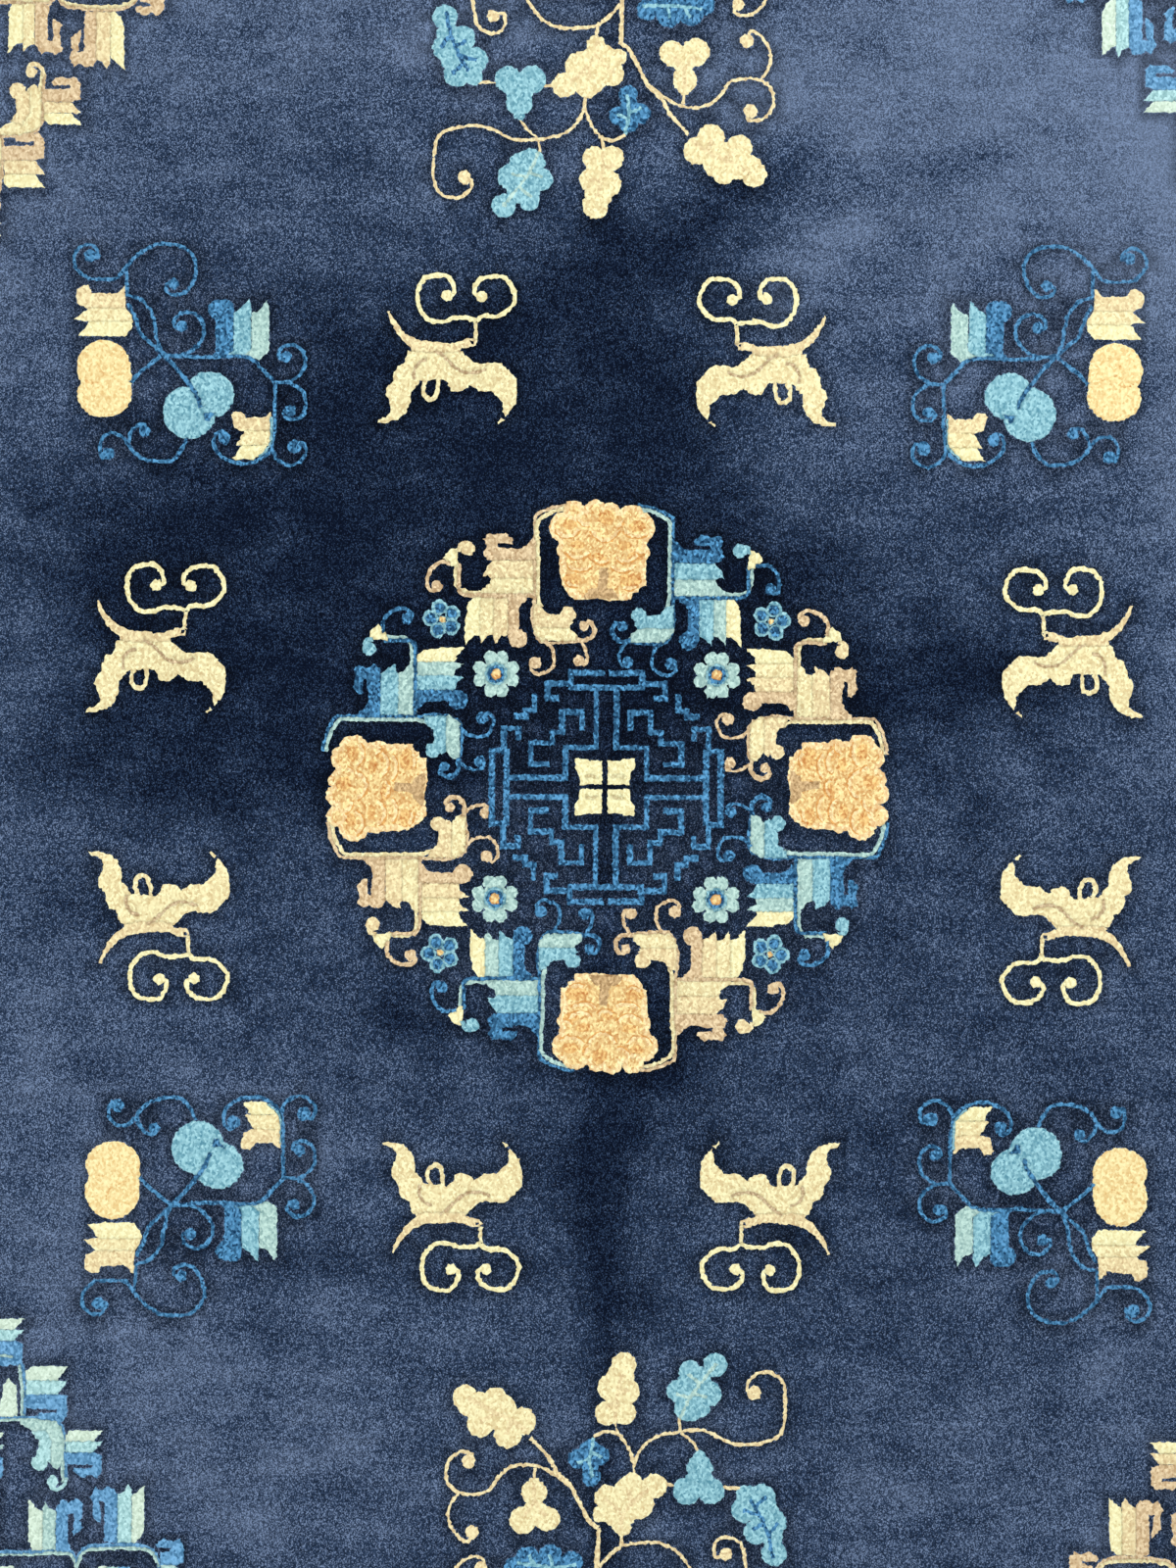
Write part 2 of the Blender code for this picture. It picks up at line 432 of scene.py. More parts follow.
# %% Peony
RIM = 8
LIP = 2.6
STRIPE = 5.5
STRIPE_INSET = 3.4
PEONY_LOBES = (
    (-54, 60, 17), (-20, 60, 18), (3, 57, 17), (38, 50, 21), (-69, 34, 24), (51, 34, 24),
    (-65, -2, 16), (49, -6, 17), (-60, -38, 16), (46, -42, 15),
)
PEONY_BODY = ((-80, 20), (-74, -54), (-64, -70), (-52, -81), (-20, -78), (4, -82), (38, -80),
              (40, -71), (49, -69), (51, -61), (61, -59), (61, -20), (64, 20), (40, 62),
              (-50, 62))
PEONY_HEART = ((-70, 20), (-65, -48), (-54, -62), (-42, -72), (30, -72), (36, -62), (50, -52),
               (51, -20), (54, 20), (32, 54), (-42, 54))

# A petal is an ellipse. Its lower edge, between two angles, has a lip and a pale stripe
Petal = namedtuple("Petal", "x y half_wide half_tall turn_deg lip_from lip_to")
PETALS = (
    Petal(-64, 34, 21, 18, 0, 195, 345),
    Petal(-34, 54, 17, 20, 0, 200, 300),
    Petal(-5, 40, 26, 29, 0, 205, 340),
    Petal(47, 38, 26, 21, 10, 195, 300),
    Petal(14, 50, 12, 18, 0, 280, 350),
    Petal(-48, -1, 22, 17, 0, 195, 345),
    Petal(-10, -8, 18, 17, 0, 215, 330),
    Petal(30, -4, 22, 19, 5, 200, 340),
    Petal(54, 4, 13, 14, 0, 200, 290),
    Petal(-44, -24, 21, 13, 0, 195, 345),
    Petal(24, -24, 22, 13, 0, 195, 345),
    Petal(-52, -50, 17, 12, 0, 200, 300),
    Petal(34, -52, 18, 14, 0, 230, 330),
)
DEEPER_PLACES = ((44, -12, 13, 8), (-16, -14, 14, 6), (-56, -48, 15, 9), (36, -50, 18, 12),
                 (-2, 50, 12, 12), (-60, 38, 11, 8), (46, 36, 13, 9), (-48, 6, 12, 7),
                 (26, 4, 12, 7))


def petal_point(petal, angle_deg, inset=0.0):
    """A point of the petal's edge, at an angle from its right end."""
    angle, turn = math.radians(angle_deg), math.radians(petal.turn_deg)
    along = (petal.half_wide - inset) * math.cos(angle)
    across = (petal.half_tall - inset) * math.sin(angle)
    return (petal.x + along * math.cos(turn) - across * math.sin(turn),
            petal.y + along * math.sin(turn) + across * math.cos(turn))


def peony_chart():
    """A cloud of petals, about 150 mm across, with its foot at the bottom."""
    peony = Chart()
    peony.lobes("pale_gold", *PEONY_LOBES)
    peony.patch("pale_gold", *PEONY_BODY)
    peony.lobes("gold", *[(x, y, radius - RIM) for x, y, radius in PEONY_LOBES])
    peony.patch("gold", *PEONY_HEART)
    for deeper in DEEPER_PLACES:
        peony.lobe("apricot", *deeper)
    for petal in PETALS:
        steps = range(petal.lip_from, petal.lip_to + 1, 15)
        stripe = [petal_point(petal, angle, STRIPE_INSET) for angle in steps]
        peony.stem("pale_gold", STRIPE, *stripe)
        peony.stem("peach", LIP, *[petal_point(petal, angle) for angle in steps])
    peony.stem("fawn", 13, (-6, -31), (-7, -48), (-9, -64), tip=17)
    peony.patch("fawn", (-24, -61), (4, -61), (11, -67), (18, -79), (-38, -78), (-33, -68))
    return peony


peony = peony_chart()
place("medallion", peony, at=(-3, 374))
place("medallion", peony, at=(-13, -380), mirror=(-1, -1))
place("medallion", peony, at=(366, 8), swap=True)
place("medallion", peony, at=(-369, 2), mirror=(-1, 1), swap=True)
print("peony", len(peony.shapes), "shapes")

# %% [markdown]
# ## Small flowers, fret and middle
#
# Two kinds of small flower fill the medallion's corners: a notched pale one near the
# fret, and a five-petalled blue one outside it. The fret is the maze of square lines
# round the middle. Its chart is one quarter, and the other three are mirrored from it.

# %% Small flowers
notched = Chart()
notched.lobe("mint", 0, 0, 23)
for side in (-1, 1):
    for end in (-1, 1):
        notched.lobe("mint", 9 * side, 26 * end, 10.5)
        notched.lobe("mint", 26 * side, 9.5 * end, 10.5)
notched.lobe("sky_blue", 0, 0, 18)
notched.lobe("deep_blue", 0, 0, 14)
notched.lobe("peach", 0, 0, 8.5)
notched.lobe("gold", 0, 1, 7)

five_petalled = Chart()
FIRST_PETAL_DEG = 76
for dye, out, radius in (("sky_blue", 19, 12.5), ("deep_blue", 18, 8.5)):
    for petal in range(5):
        turn = math.radians(FIRST_PETAL_DEG + 72 * petal)
        five_petalled.lobe(dye, out * math.cos(turn), out * math.sin(turn), radius)
five_petalled.lobe("sky_blue", 0, 0, 6)
five_petalled.lobe("gold", 0, 0, 5)

FLOWER_AT = -4, -3
for across, up in QUARTERS:
    place("medallion", notched, at=(175 * across + FLOWER_AT[0], 178 * up + FLOWER_AT[1]))
    place("medallion", five_petalled, mirror=(across, up),
          at=(261 * across + FLOWER_AT[0], 264 * up + FLOWER_AT[1]))
print("flowers", len(notched.shapes), "and", len(five_petalled.shapes), "shapes")

# %% Fret and middle
FRET_LINE = 8.5
fret = Chart()
fret.bar("deep_blue", FRET_LINE, (16, 157), (16, 63), (64, 63), (64, 15), (157, 15))
fret.bar("deep_blue", FRET_LINE, (0, 158), (56, 158), (56, 164), (93, 164), (93, 141), (80, 141))
fret.bar("deep_blue", FRET_LINE, (158, 0), (158, 56), (162, 56), (162, 93), (139, 93), (139, 80))
fret.bar("deep_blue", FRET_LINE, (8, 181), (57, 181), (57, 166))
fret.bar("deep_blue", FRET_LINE, (181, 4), (181, 58), (164, 58))
fret.bar("deep_blue", FRET_LINE, (38, 95), (38, 119), (70, 119), (70, 87), (86, 87), (86, 70),
         (119, 70), (119, 37), (95, 37))
fret.bar("deep_blue", FRET_LINE, (114, 144), (114, 122), (127, 122), (127, 112), (143, 112))

cell = Chart()
cell.patch("ivory", (4, 4), (39, 4), (41, 20), (48, 31), (47, 46), (30, 45), (24, 41), (4, 41))
cell.stem("cream", 4, (12, 14), (20, 18), (30, 16))

for quarter in QUARTERS:
    place("medallion", fret, at=(-4, -4), mirror=quarter)
    place("medallion", cell, at=(-6, -3), mirror=quarter)
print("fret", len(fret.shapes), "shapes")

# %% [markdown]
# ## Butterflies
#
# Eight butterflies fly round the medallion. Each has two great coiled feelers, a short
# body that ends in a long tapering tail, and a pair of cream wings with curved tips. A
# small loop hangs between the wings, and thin tan lines mark their inner edge. The chart
# is drawn for the upper left butterfly, and the others are mirrored from it.

# %% Butterfly
butterfly = Chart()
butterfly.patch(
    "cream", (-64, 1), (20, 3), (32, -9), (42, -17), (52, -19), (66, -16), (84, -18), (97, -31),
    (108, -42), (109, -62), (106, -82), (100, -92), (90, -102), (87, -94), (87, -80), (68, -62),
    (48, -62), (33, -52), (26, -59), (14, -63), (3, -61), (-1, -49), (-8, -43), (-46, -46),
    (-54, -57), (-61, -64), (-61, -80), (-68, -97), (-80, -107), (-96, -112), (-113, -112),
    (-111, -107), (-100, -104), (-91, -96), (-92, -85), (-99, -68), (-97, -56), (-89, -48),
    (-87, -35), (-81, -22), (-71, -19), (-67, -6),
)
butterfly.patch("cream", (84, -104), (88, -107), (79, -113), (77, -111))
butterfly.patch("sand", (-60, 2), (-56, 22), (-40, 17), (-18, 15), (10, 14), (28, 21), (42, 22),
                (46, 17), (42, 10), (20, 6), (18, 0), (-10, -2), (-40, -1))
butterfly.stem("sand", 16, (-52, 12), (-66, 20), (-78, 32), (-88, 46), (-96, 64), tip=3)
butterfly.patch("navy", (35, 19), (41, 19), (41, 14), (36, 14))
butterfly.stem("cream", 6, (43, 20), (43, 34), (44, 48))
butterfly.curl("ivory", 7, 9, (44, 49), (30, 53), (6, 53), (-6, 48), (-26, 48), (-39, 58),
               (-48, 74), (-48, 100), (-35, 118), (-6, 121), (6, 108), (8, 92), (-3, 89))
butterfly.curl("ivory", 7, 9, (44, 49), (54, 57), (76, 57), (91, 64), (104, 80), (103, 96),
               (95, 111), (83, 120), (56, 118), (42, 106), (41, 92), (52, 88))
butterfly.stem("cream", 7, (-36, -44), (-41, -56), (-39, -69), (-30, -75), (-21, -71),
               (-17, -56), (-18, -40))
butterfly.patch("navy", (-30, -48), (-20, -44), (-20, -60), (-26, -66), (-31, -60))
butterfly.stem("tan", 4.5, (-22, 2), (-10, -5), (2, -16), (14, -27), (30, -33), (44, -32),
               (58, -27))
butterfly.stem("tan", 4.5, (-34, -12), (-46, -16), (-54, -28), (-54, -44))

Spot = namedtuple("Spot", "x y across up")
BUTTERFLIES = (
    Spot(-257, 684, 1, 1), Spot(244, 682, -1, 1), Spot(-243, -679, 1, -1),
    Spot(257, -678, -1, -1), Spot(-716, 224, 1, 1), Spot(732, 224, -1, 1),
    Spot(-707, -222, 1, -1), Spot(730, -220, -1, -1),
)
for number, spot in enumerate(BUTTERFLIES, start=1):
    place(f"butterfly_{number}", butterfly, at=(spot.x, spot.y), mirror=(spot.across, spot.up))
print("butterfly", len(butterfly.shapes), "shapes")

# %% [markdown]
# ## Fruit sprays
#
# A spray of fruit stands in each quarter of the field: a gold fruit of two lobes under a
# banded cream leaf, a light blue heart-shaped fruit, a blue fan of leaves and a second
# cream leaf. Thin blue stems with coiled ends tie them together.

# %% Fruit spray
spray = Chart()
spray.patch("sand", (-180, 98), (-178, 110), (-168, 116), (-159, 116), (-154, 105), (-115, 103),
            (-102, 117), (-100, 80), (-162, 80), (-178, 88))
spray.patch("cream", (-162, 80), (-100, 80), (-92, 68), (-90, 60), (-160, 60), (-183, 63),
            (-170, 72))
spray.patch("ivory", (-160, 60), (-90, 60), (-92, 48), (-102, 36), (-177, 37), (-166, 48))
spray.lobe("fruit_gold", -136, -14, 43, 44)
spray.lobe("fruit_gold", -135, -57, 43, 36)
spray.patch("fruit_gold", (-136, 10), (-93, -10), (-92, -60), (-136, -60))
spray.stem("gold", 3, (-146, -2), (-140, -18), (-130, -26), (-114, -30))
spray.stem("gold", 3, (-166, -34), (-156, -39), (-144, -37))
spray.lobe("sky_blue", 0, -84, 42, 42)
spray.lobe("sky_blue", 32, -56, 39, 37)
spray.patch("sky_blue", (-38, -62), (-26, -50), (0, -44), (20, -60), (0, -90), (-38, -90))
spray.patch("deep_blue", (22, -85), (42, -84), (34, -92), (32, -99), (25, -97))
spray.patch("deep_blue", (36, 4), (42, 12), (41, 70), (70, 84), (70, 4))
spray.lobes("deep_blue", (45, 79, 16), (56, 82, 14))
spray.patch("sky_blue", (56, 8), (70, 14), (70, 74), (80, 80), (95, 96), (97, 84), (98, 6),
            (72, 8))
spray.patch("mint", (86, 8), (98, 16), (98, 73), (112, 78), (122, 94), (126, 84), (126, 12),
            (110, -1), (100, 2))
spray.patch("sand", (67, -88), (70, -83), (82, -82), (90, -92), (118, -92), (130, -83),
            (131, -113), (84, -113), (72, -109))
spray.patch("cream", (88, -113), (131, -113), (130, -126), (126, -136), (74, -136), (82, -124))
spray.patch("ivory", (82, -136), (126, -136), (118, -147), (102, -158), (68, -158), (78, -147))
spray.curl("deep_blue", 5.5, 9, (-100, 147), (-82, 165), (-58, 180), (-34, 183), (-8, 177),
           (8, 160), (10, 140), (4, 120), (-8, 106), (-22, 102), (-36, 107), (-37, 118),
           (-26, 120))
spray.curl("deep_blue", 5.5, 10, (-100, 147), (-110, 133), (-120, 127), (-158, 128),
           (-176, 140), (-183, 154), (-180, 170), (-164, 181), (-149, 176), (-145, 162),
           (-157, 164))
spray.stem("deep_blue", 5, (-100, 146), (-99, 120), (-99, 98))
spray.stem("deep_blue", 5.5, (-98, 101), (-76, 94), (-59, 72), (-54, 48), (-50, 26), (-42, 8))
spray.stem("deep_blue", 5.5, (-98, 88), (-86, 66), (-78, 42), (-64, 28), (-42, 8))
spray.stem("deep_blue", 6, (-42, 8), (-62, -8), (-80, -22), (-93, -37))
spray.stem("deep_blue", 6, (-42, 8), (-10, 5), (28, 3), (62, 5), (96, 2), (116, -16),
           (136, -37))
spray.curl("deep_blue", 5.5, 9, (-20, 6), (2, 13), (20, 32), (23, 52), (12, 70), (-6, 75),
           (-22, 66), (-24, 52), (-12, 53))
spray.stem("deep_blue", 7, (-42, 8), (-22, -12), (0, -40), (13, -60), (18, -76))
spray.curl("deep_blue", 5.5, 9, (136, -37), (158, -35), (178, -20), (184, 0), (175, 18),
           (157, 24), (142, 14), (144, 1), (153, 5))
spray.curl("deep_blue", 5.5, 9, (158, -36), (178, -49), (185, -68), (181, -86), (168, -95),
           (153, -92), (150, -82), (160, -81))
spray.stem("deep_blue", 5.5, (136, -37), (135, -76), (135, -110), (131, -140))
spray.stem("sky_blue", 3.5, (130, -90), (130, -118), (127, -138), (110, -154))
spray.curl("deep_blue", 5.5, 11, (131, -138), (138, -156), (156, -167), (174, -163),
           (185, -148), (180, -132), (167, -138))
spray.curl("deep_blue", 5.5, 10, (132, -140), (116, -156), (92, -165), (64, -161), (44, -146),
           (40, -130), (44, -117), (56, -115), (56, -125))
spray.curl("deep_blue", 5.5, 10, (-4, -126), (-12, -144), (-30, -162), (-66, -160),
           (-86, -149), (-99, -132), (-110, -121), (-124, -118), (-138, -126), (-142, -142),
           (-137, -157), (-128, -150))
spray.curl("deep_blue", 5.5, 9, (-97, -135), (-93, -118), (-82, -106), (-70, -105), (-70, -114))

SPRAYS = (
    Spot(-668, 671, 1, 1), Spot(664, 673, -1, 1), Spot(-648, -662, 1, -1),
    Spot(680, -664, -1, -1),
)
for number, spot in enumerate(SPRAYS, start=1):
    place(f"fruit_spray_{number}", spray, at=(spot.x, spot.y), mirror=(spot.across, spot.up))
print("spray", len(spray.shapes), "shapes")

# %% [markdown]
# ## Vine sprays
#
# A vine with lobed leaves grows from each end of the field towards the medallion. The
# lower one is the upper one turned half round. A leaf is a cluster of round lobes with
# its veins drawn on top, cream leaves with sand veins and blue leaves with lighter or
# darker ones. Past the photograph's edge the stems run plainly on to a trunk.

# %% Vine
VEIN_WIDTHS = {"sand": 7.0, "mint": 5.0, "sky_blue": 5.0, "deep_blue": 6.0}
vine = Chart()
vine.stem("sand", 7, (20, 1440), (14, 1380), (22, 1310), (20, 1240), (18, 1176))
vine.stem("sand", 6, (18, 1176), (32, 1164), (46, 1138), (62, 1108), (84, 1086), (98, 1062),
          (126, 1032))
vine.curl("sand", 5, 11, (66, 1106), (98, 1084), (126, 1075), (156, 1078), (176, 1094),
          (192, 1115), (216, 1121), (240, 1118), (256, 1104), (260, 1084), (252, 1064),
          (234, 1054), (218, 1058), (224, 1069))
vine.curl("sand", 5, 11, (240, 1119), (254, 1142), (254, 1166), (240, 1188), (224, 1196),
          (218, 1181))
vine.curl("sand", 5, 10, (22, 1330), (90, 1326), (170, 1322), (232, 1300), (252, 1262),
          (238, 1232), (216, 1220), (198, 1226), (204, 1238))
vine.stem("sand", 5, (16, 1238), (-8, 1212), (-30, 1200), (-74, 1198), (-106, 1212),
          (-128, 1240), (-132, 1270), (-104, 1290))
vine.curl("sand", 4.5, 10, (-104, 1290), (-84, 1282), (-80, 1262), (-96, 1256))
vine.curl("sand", 5, 10, (20, 1352), (-80, 1356), (-180, 1322), (-214, 1262), (-213, 1218),
          (-204, 1196), (-180, 1189), (-166, 1200), (-168, 1220), (-184, 1216))
vine.stem("sand", 5, (-18, 1204), (-20, 1186))
vine.stem("sand", 5, (-38, 1098), (-39, 1072), (-50, 1048), (-74, 1030), (-110, 1022),
          (-150, 1021), (-180, 1035), (-206, 1042), (-246, 1038), (-270, 1024), (-277, 992))
vine.curl("sand", 5, 11, (-277, 992), (-276, 952), (-262, 932), (-238, 928), (-220, 940),
          (-217, 956), (-228, 960))
vine.stem("sand", 5, (-38, 1072), (-30, 1050), (-14, 1028), (8, 1023), (26, 1031))
vine.stem("sand", 5, (-12, 1028), (-8, 1008))
vine.stem("sand", 4.5, (-112, 1024), (-128, 1036), (-142, 1056))
vine.stem("sand", 4.5, (-111, 1022), (-109, 1000))
vine.stem("sand", 4.5, (-214, 1112), (-176, 1110))
vine.stem("sand", 4.5, (-104, 1108), (-84, 1106))
vine.stem("sand", 4.5, (120, 1100), (118, 1080))

Leaf = namedtuple("Leaf", "dye vein lobes veins")
LEAVES = (
    Leaf("cream", "sand",
         ((-20, 1172, 15), (-14, 1146, 30), (-46, 1136, 24), (-70, 1108, 20), (-35, 1106, 19),
          (4, 1128, 20), (14, 1154, 14), (-30, 1120, 26)),
         (((-18, 1178), (-22, 1152), (-40, 1130), (-62, 1112)),
          ((-22, 1152), (-4, 1140), (8, 1128)), ((-34, 1136), (-30, 1114)))),
    Leaf("sky_blue", "sky_blue",
         ((-160, 1116, 21), (-122, 1116, 22), (-142, 1080, 21), (-142, 1062, 10),
          (-142, 1104, 24)), ()),
    Leaf("sky_blue", "deep_blue",
         ((-260, 1214, 20), (-256, 1186, 18), (-260, 1166, 20), (-232, 1180, 20),
          (-244, 1150, 24), (-212, 1146, 20), (-240, 1126, 22), (-216, 1122, 16)),
         (((-258, 1222), (-252, 1190), (-240, 1158), (-222, 1128)),
          ((-250, 1186), (-266, 1166)), ((-244, 1168), (-226, 1176)),
          ((-236, 1152), (-210, 1146)), ((-230, 1140), (-248, 1124)))),
    Leaf("sky_blue", "mint",
         ((-124, 984, 23), (-107, 958, 18), (-156, 962, 20), (-134, 944, 27), (-166, 916, 19),
          (-126, 926, 17), (-142, 984, 16)),
         (((-110, 1002), (-126, 968), (-142, 946), (-168, 914)),
          ((-126, 968), (-104, 962)), ((-130, 962), (-154, 966)), ((-142, 946), (-122, 930)))),
    Leaf("cream", "sand",
         ((4, 994, 20), (-22, 992, 19), (-26, 958, 20), (-2, 954, 22), (-14, 970, 22),
          (-21, 916, 20), (-16, 936, 22)),
         (((-8, 1006), (-10, 970), (-18, 930)), ((-10, 975), (8, 984)),
          ((-12, 960), (-30, 956)))),
    Leaf("deep_blue", "sky_blue",
         ((30, 1094, 15), (16, 1062, 15), (50, 1064, 16), (32, 1050, 16), (32, 1074, 15)),
         (((26, 1032), (32, 1064), (28, 1094)), ((32, 1064), (52, 1072)),
          ((30, 1054), (14, 1064)))),
    Leaf("cream", "sand",
         ((99, 1160, 20), (137, 1162, 22), (118, 1150, 20), (120, 1118, 20), (120, 1104, 10)),
         (((120, 1104), (118, 1132), (100, 1156)), ((118, 1132), (136, 1156)))),
    Leaf("cream", "sand",
         ((140, 1006, 22), (162, 1026, 22), (206, 1010, 21), (178, 990, 30), (230, 968, 20),
          (182, 970, 18), (206, 984, 24), (226, 982, 16)),
         (((130, 1024), (156, 1004), (186, 990), (226, 968)), ((156, 1004), (164, 1026)),
          ((180, 992), (206, 1006)))),
    Leaf("deep_blue", "sky_blue",
         ((60, 1228, 17), (94, 1220, 19), (130, 1224, 20), (150, 1238, 17), (120, 1248, 22),
          (84, 1248, 20)),
         (((52, 1232), (90, 1236), (146, 1230)), ((90, 1236), (96, 1216)),
          ((118, 1233), (128, 1216)))),
    Leaf("sky_blue", "deep_blue",
         ((-60, 1276, 22), (-30, 1292, 20), (-34, 1262, 18)),
         (((-12, 1300), (-40, 1280), (-70, 1270)),)),
    Leaf("cream", "sand",
         ((86, 1296, 16), (112, 1284, 18), (140, 1290, 16)), (((66, 1310), (100, 1290),
                                                              (140, 1286)),)),
)
for leaf in LEAVES:
    vine.lobes(leaf.dye, *leaf.lobes)
    for vein in leaf.veins:
        vine.stem(leaf.vein, VEIN_WIDTHS[leaf.vein], *vein)
place("vine_top", vine, at=(-5, 0))
place("vine_bottom", vine, at=(8, -2), mirror=(-1, -1))
print("vine", len(vine.shapes), "shapes")

# %% [markdown]
# ## Corner pieces
#
# Each corner of the field is filled with the medallion's own vocabulary: banded leaves
# with sawtooth tips and a hooked last band, on square stems. The chart is drawn for the
# upper right corner, in distances from the middle. Upper left and lower right are in
# the cream set, and the other two in a set of lighter blues than the medallion's. The
# part that the photograph cuts off goes on in the same leaves.

# %% Corner piece
def banded_leaf(chart, x, y, point, side, shades, band=19, length=56):
    """Bands that point one way from (x, y), the next ones to one side, the last hooked."""
    across = (-point[1] * side, point[0] * side)

    def at(out, over):
        return (x + point[0] * out + across[0] * over, y + point[1] * out + across[1] * over)

    for number, shade in enumerate(shades[:-1]):
        low, high = number * band, (number + 1) * band
        heel = 8 if number == 0 else 0
        chart.patch(shade, at(heel, low), at(length + 10, low), at(length + 2, low + 0.45 * band),
                    at(length - 6, high), at(0, high), at(0, low + heel))
    low = (len(shades) - 1) * band
    high = low + band
    chart.patch(shades[-1], at(0, low), at(length - 4, low), at(length + 8, low + 4),
                at(length + 8, high + 12), at(length, high + 22), at(length - 12, high + 18),
                at(length - 24, high + 22), at(length - 38, high + 12), at(length - 36, high + 7),
                at(length - 8, high + 8), at(length - 8, high + 2), at(0, high))


def two_tone(chart, dark, light, offset, *points):
    """A stem of two strands side by side, the light one offset to one side."""
    chart.stem(dark, 6, *points)
    chart.stem(light, 5, *[(x + offset[0], y + offset[1]) for x, y in points])


LEFT, DOWN, UP = (-1, 0), (0, -1), (0, 1)
corner = Chart()
two_tone(corner, "one", "three", (4, 4), (1060, 960), (1020, 930), (980, 924), (964, 940),
         (959, 980), (959, 1030))
two_tone(corner, "one", "three", (4, 4), (1062, 1030), (990, 1026), (930, 1026), (905, 1034),
         (895, 1052), (894, 1090), (892, 1124))
corner.curl("two", 6, 9, (892, 1120), (896, 1133), (906, 1140), (917, 1135), (913, 1127))
banded_leaf(corner, 893, 1045, LEFT, -1, ("four", "two", "one"), band=18, length=50)
banded_leaf(corner, 956, 944, LEFT, -1, ("four", "two", "one"), band=22, length=56)
banded_leaf(corner, 1020, 868, LEFT, -1, ("four", "two", "one"), band=18, length=50)
corner.patch("three", (900, 1100), (906, 1109), (918, 1100), (926, 1092), (938, 1085),
             (935, 1062), (944, 1047), (964, 1036), (964, 1028), (912, 1030), (898, 1042))
corner.patch("two", (916, 1098), (940, 1090), (935, 1064), (946, 1048), (926, 1044),
             (915, 1062))
corner.lobe("two", 934, 1097, 13)
corner.patch("four", (970, 1024), (972, 975), (984, 962), (992, 975), (1000, 1024))
corner.patch("two", (1000, 1024), (1000, 975), (1010, 960), (1020, 975), (1020, 1024))
two_tone(corner, "one", "three", (0, 5), (1062, 1238), (1000, 1238), (940, 1238), (905, 1236),
         (882, 1240), (874, 1258))
two_tone(corner, "one", "three", (0, 5), (874, 1258), (866, 1238), (850, 1230), (800, 1227),
         (764, 1230), (748, 1244), (744, 1262))
corner.patch("four", (944, 1236), (950, 1222), (950, 1156), (936, 1172), (928, 1174),
             (928, 1236))
corner.patch("three", (928, 1236), (928, 1174), (926, 1159), (918, 1169), (908, 1173),
             (908, 1236))
corner.patch("one", (908, 1236), (908, 1172), (897, 1155), (887, 1161), (876, 1154),
             (865, 1160), (866, 1184), (870, 1190), (864, 1201), (879, 1213), (881, 1206),
             (878, 1190), (880, 1177), (888, 1178), (888, 1224), (882, 1236))
corner.patch("one", (830, 1222), (830, 1160), (840, 1158), (836, 1175), (835, 1196),
             (850, 1182), (848, 1162), (853, 1152), (845, 1136), (837, 1141), (828, 1136),
             (815, 1137), (810, 1148), (810, 1224))
corner.patch("two", (810, 1224), (810, 1148), (798, 1142), (793, 1131), (788, 1140),
             (788, 1224))
corner.patch("four", (788, 1224), (788, 1150), (775, 1140), (767, 1133), (767, 1200),
             (772, 1214), (782, 1224))
corner.lobes("one", (716, 1238, 10), (728, 1246, 10))
banded_leaf(corner, 742, 1296, LEFT, 1, ("four", "three", "one"), band=19, length=30)
banded_leaf(corner, 846, 1262, UP, 1, ("four", "three", "one"), band=19, length=46)
banded_leaf(corner, 1052, 1150, LEFT, -1, ("four", "two", "one"), band=18, length=46)
banded_leaf(corner, 1052, 1050, LEFT, -1, ("four", "three", "one"), band=18, length=52)
banded_leaf(corner, 1052, 1262, LEFT, -1, ("four", "three", "two", "one"), band=19, length=70)
banded_leaf(corner, 700, 1420, LEFT, 1, ("four", "two", "one"), band=18, length=46)
banded_leaf(corner, 830, 1350, DOWN, -1, ("four", "two", "one"), band=18, length=40)
banded_leaf(corner, 944, 1400, DOWN, -1, ("four", "three", "one"), band=19, length=48)
banded_leaf(corner, 1050, 1500, LEFT, 1, ("four", "three", "two", "one"), band=19, length=80)
two_tone(corner, "one", "three", (0, 5), (1062, 1410), (960, 1410), (860, 1400), (780, 1380),
         (730, 1330), (744, 1262))
two_tone(corner, "one", "three", (0, 5), (960, 1410), (880, 1450), (780, 1452), (700, 1440))
corner.curl("two", 6, 10, (700, 1440), (660, 1430), (630, 1446), (634, 1476), (660, 1484),
            (662, 1466))

Corner = namedtuple("Corner", "name at mirror shades")
CORNERS = (
    Corner("corner_top_left", (-6, -3), (-1, 1), CREAM_SET),
    Corner("corner_top_right", (9, 26), (1, 1), CORNER_BLUES),
    Corner("corner_bottom_right", (30, 9), (1, -1), CREAM_SET),
    Corner("corner_bottom_left", (38, 18), (-1, -1), CORNER_BLUES),
)
for piece in CORNERS:
    place(piece.name, corner, at=piece.at, mirror=piece.mirror, shades=piece.shades)
print("corner", len(corner.shapes), "shapes; layout", len(layout), "shapes")

# %% [markdown]
# ## From the layout to knots
#
# The layout now has to become one surface that is divided wherever the dye changes. A
# constrained triangulation does that: it keeps every outline as a line of edges, and
# tells which shapes cover each triangle, so the last one drawn gives its dye. By hand
# this would be a knife project for every shape, and Blender's knife needs a window.
#
# Carving needs points beside the lines too. Free points stand in two rings along each
# outline, one in the groove and one near its end, and a coarse lattice carries the folds
# between motifs.

# %% Outlines that the triangulation can read
TINY_AREA = 2e-8


def turn_at(a, b, c):
    """Twice the area of a corner, above 0 where it turns left."""
    return (b[0] - a[0]) * (c[1] - b[1]) - (b[1] - a[1]) * (c[0] - b[0])


def area_of(outline):
    """The area inside an outline, below 0 where it runs clockwise."""
    return 0.5 * sum(a[0] * b[1] - b[0] * a[1] for a, b in zip(outline, outline[1:] + outline[:1]))


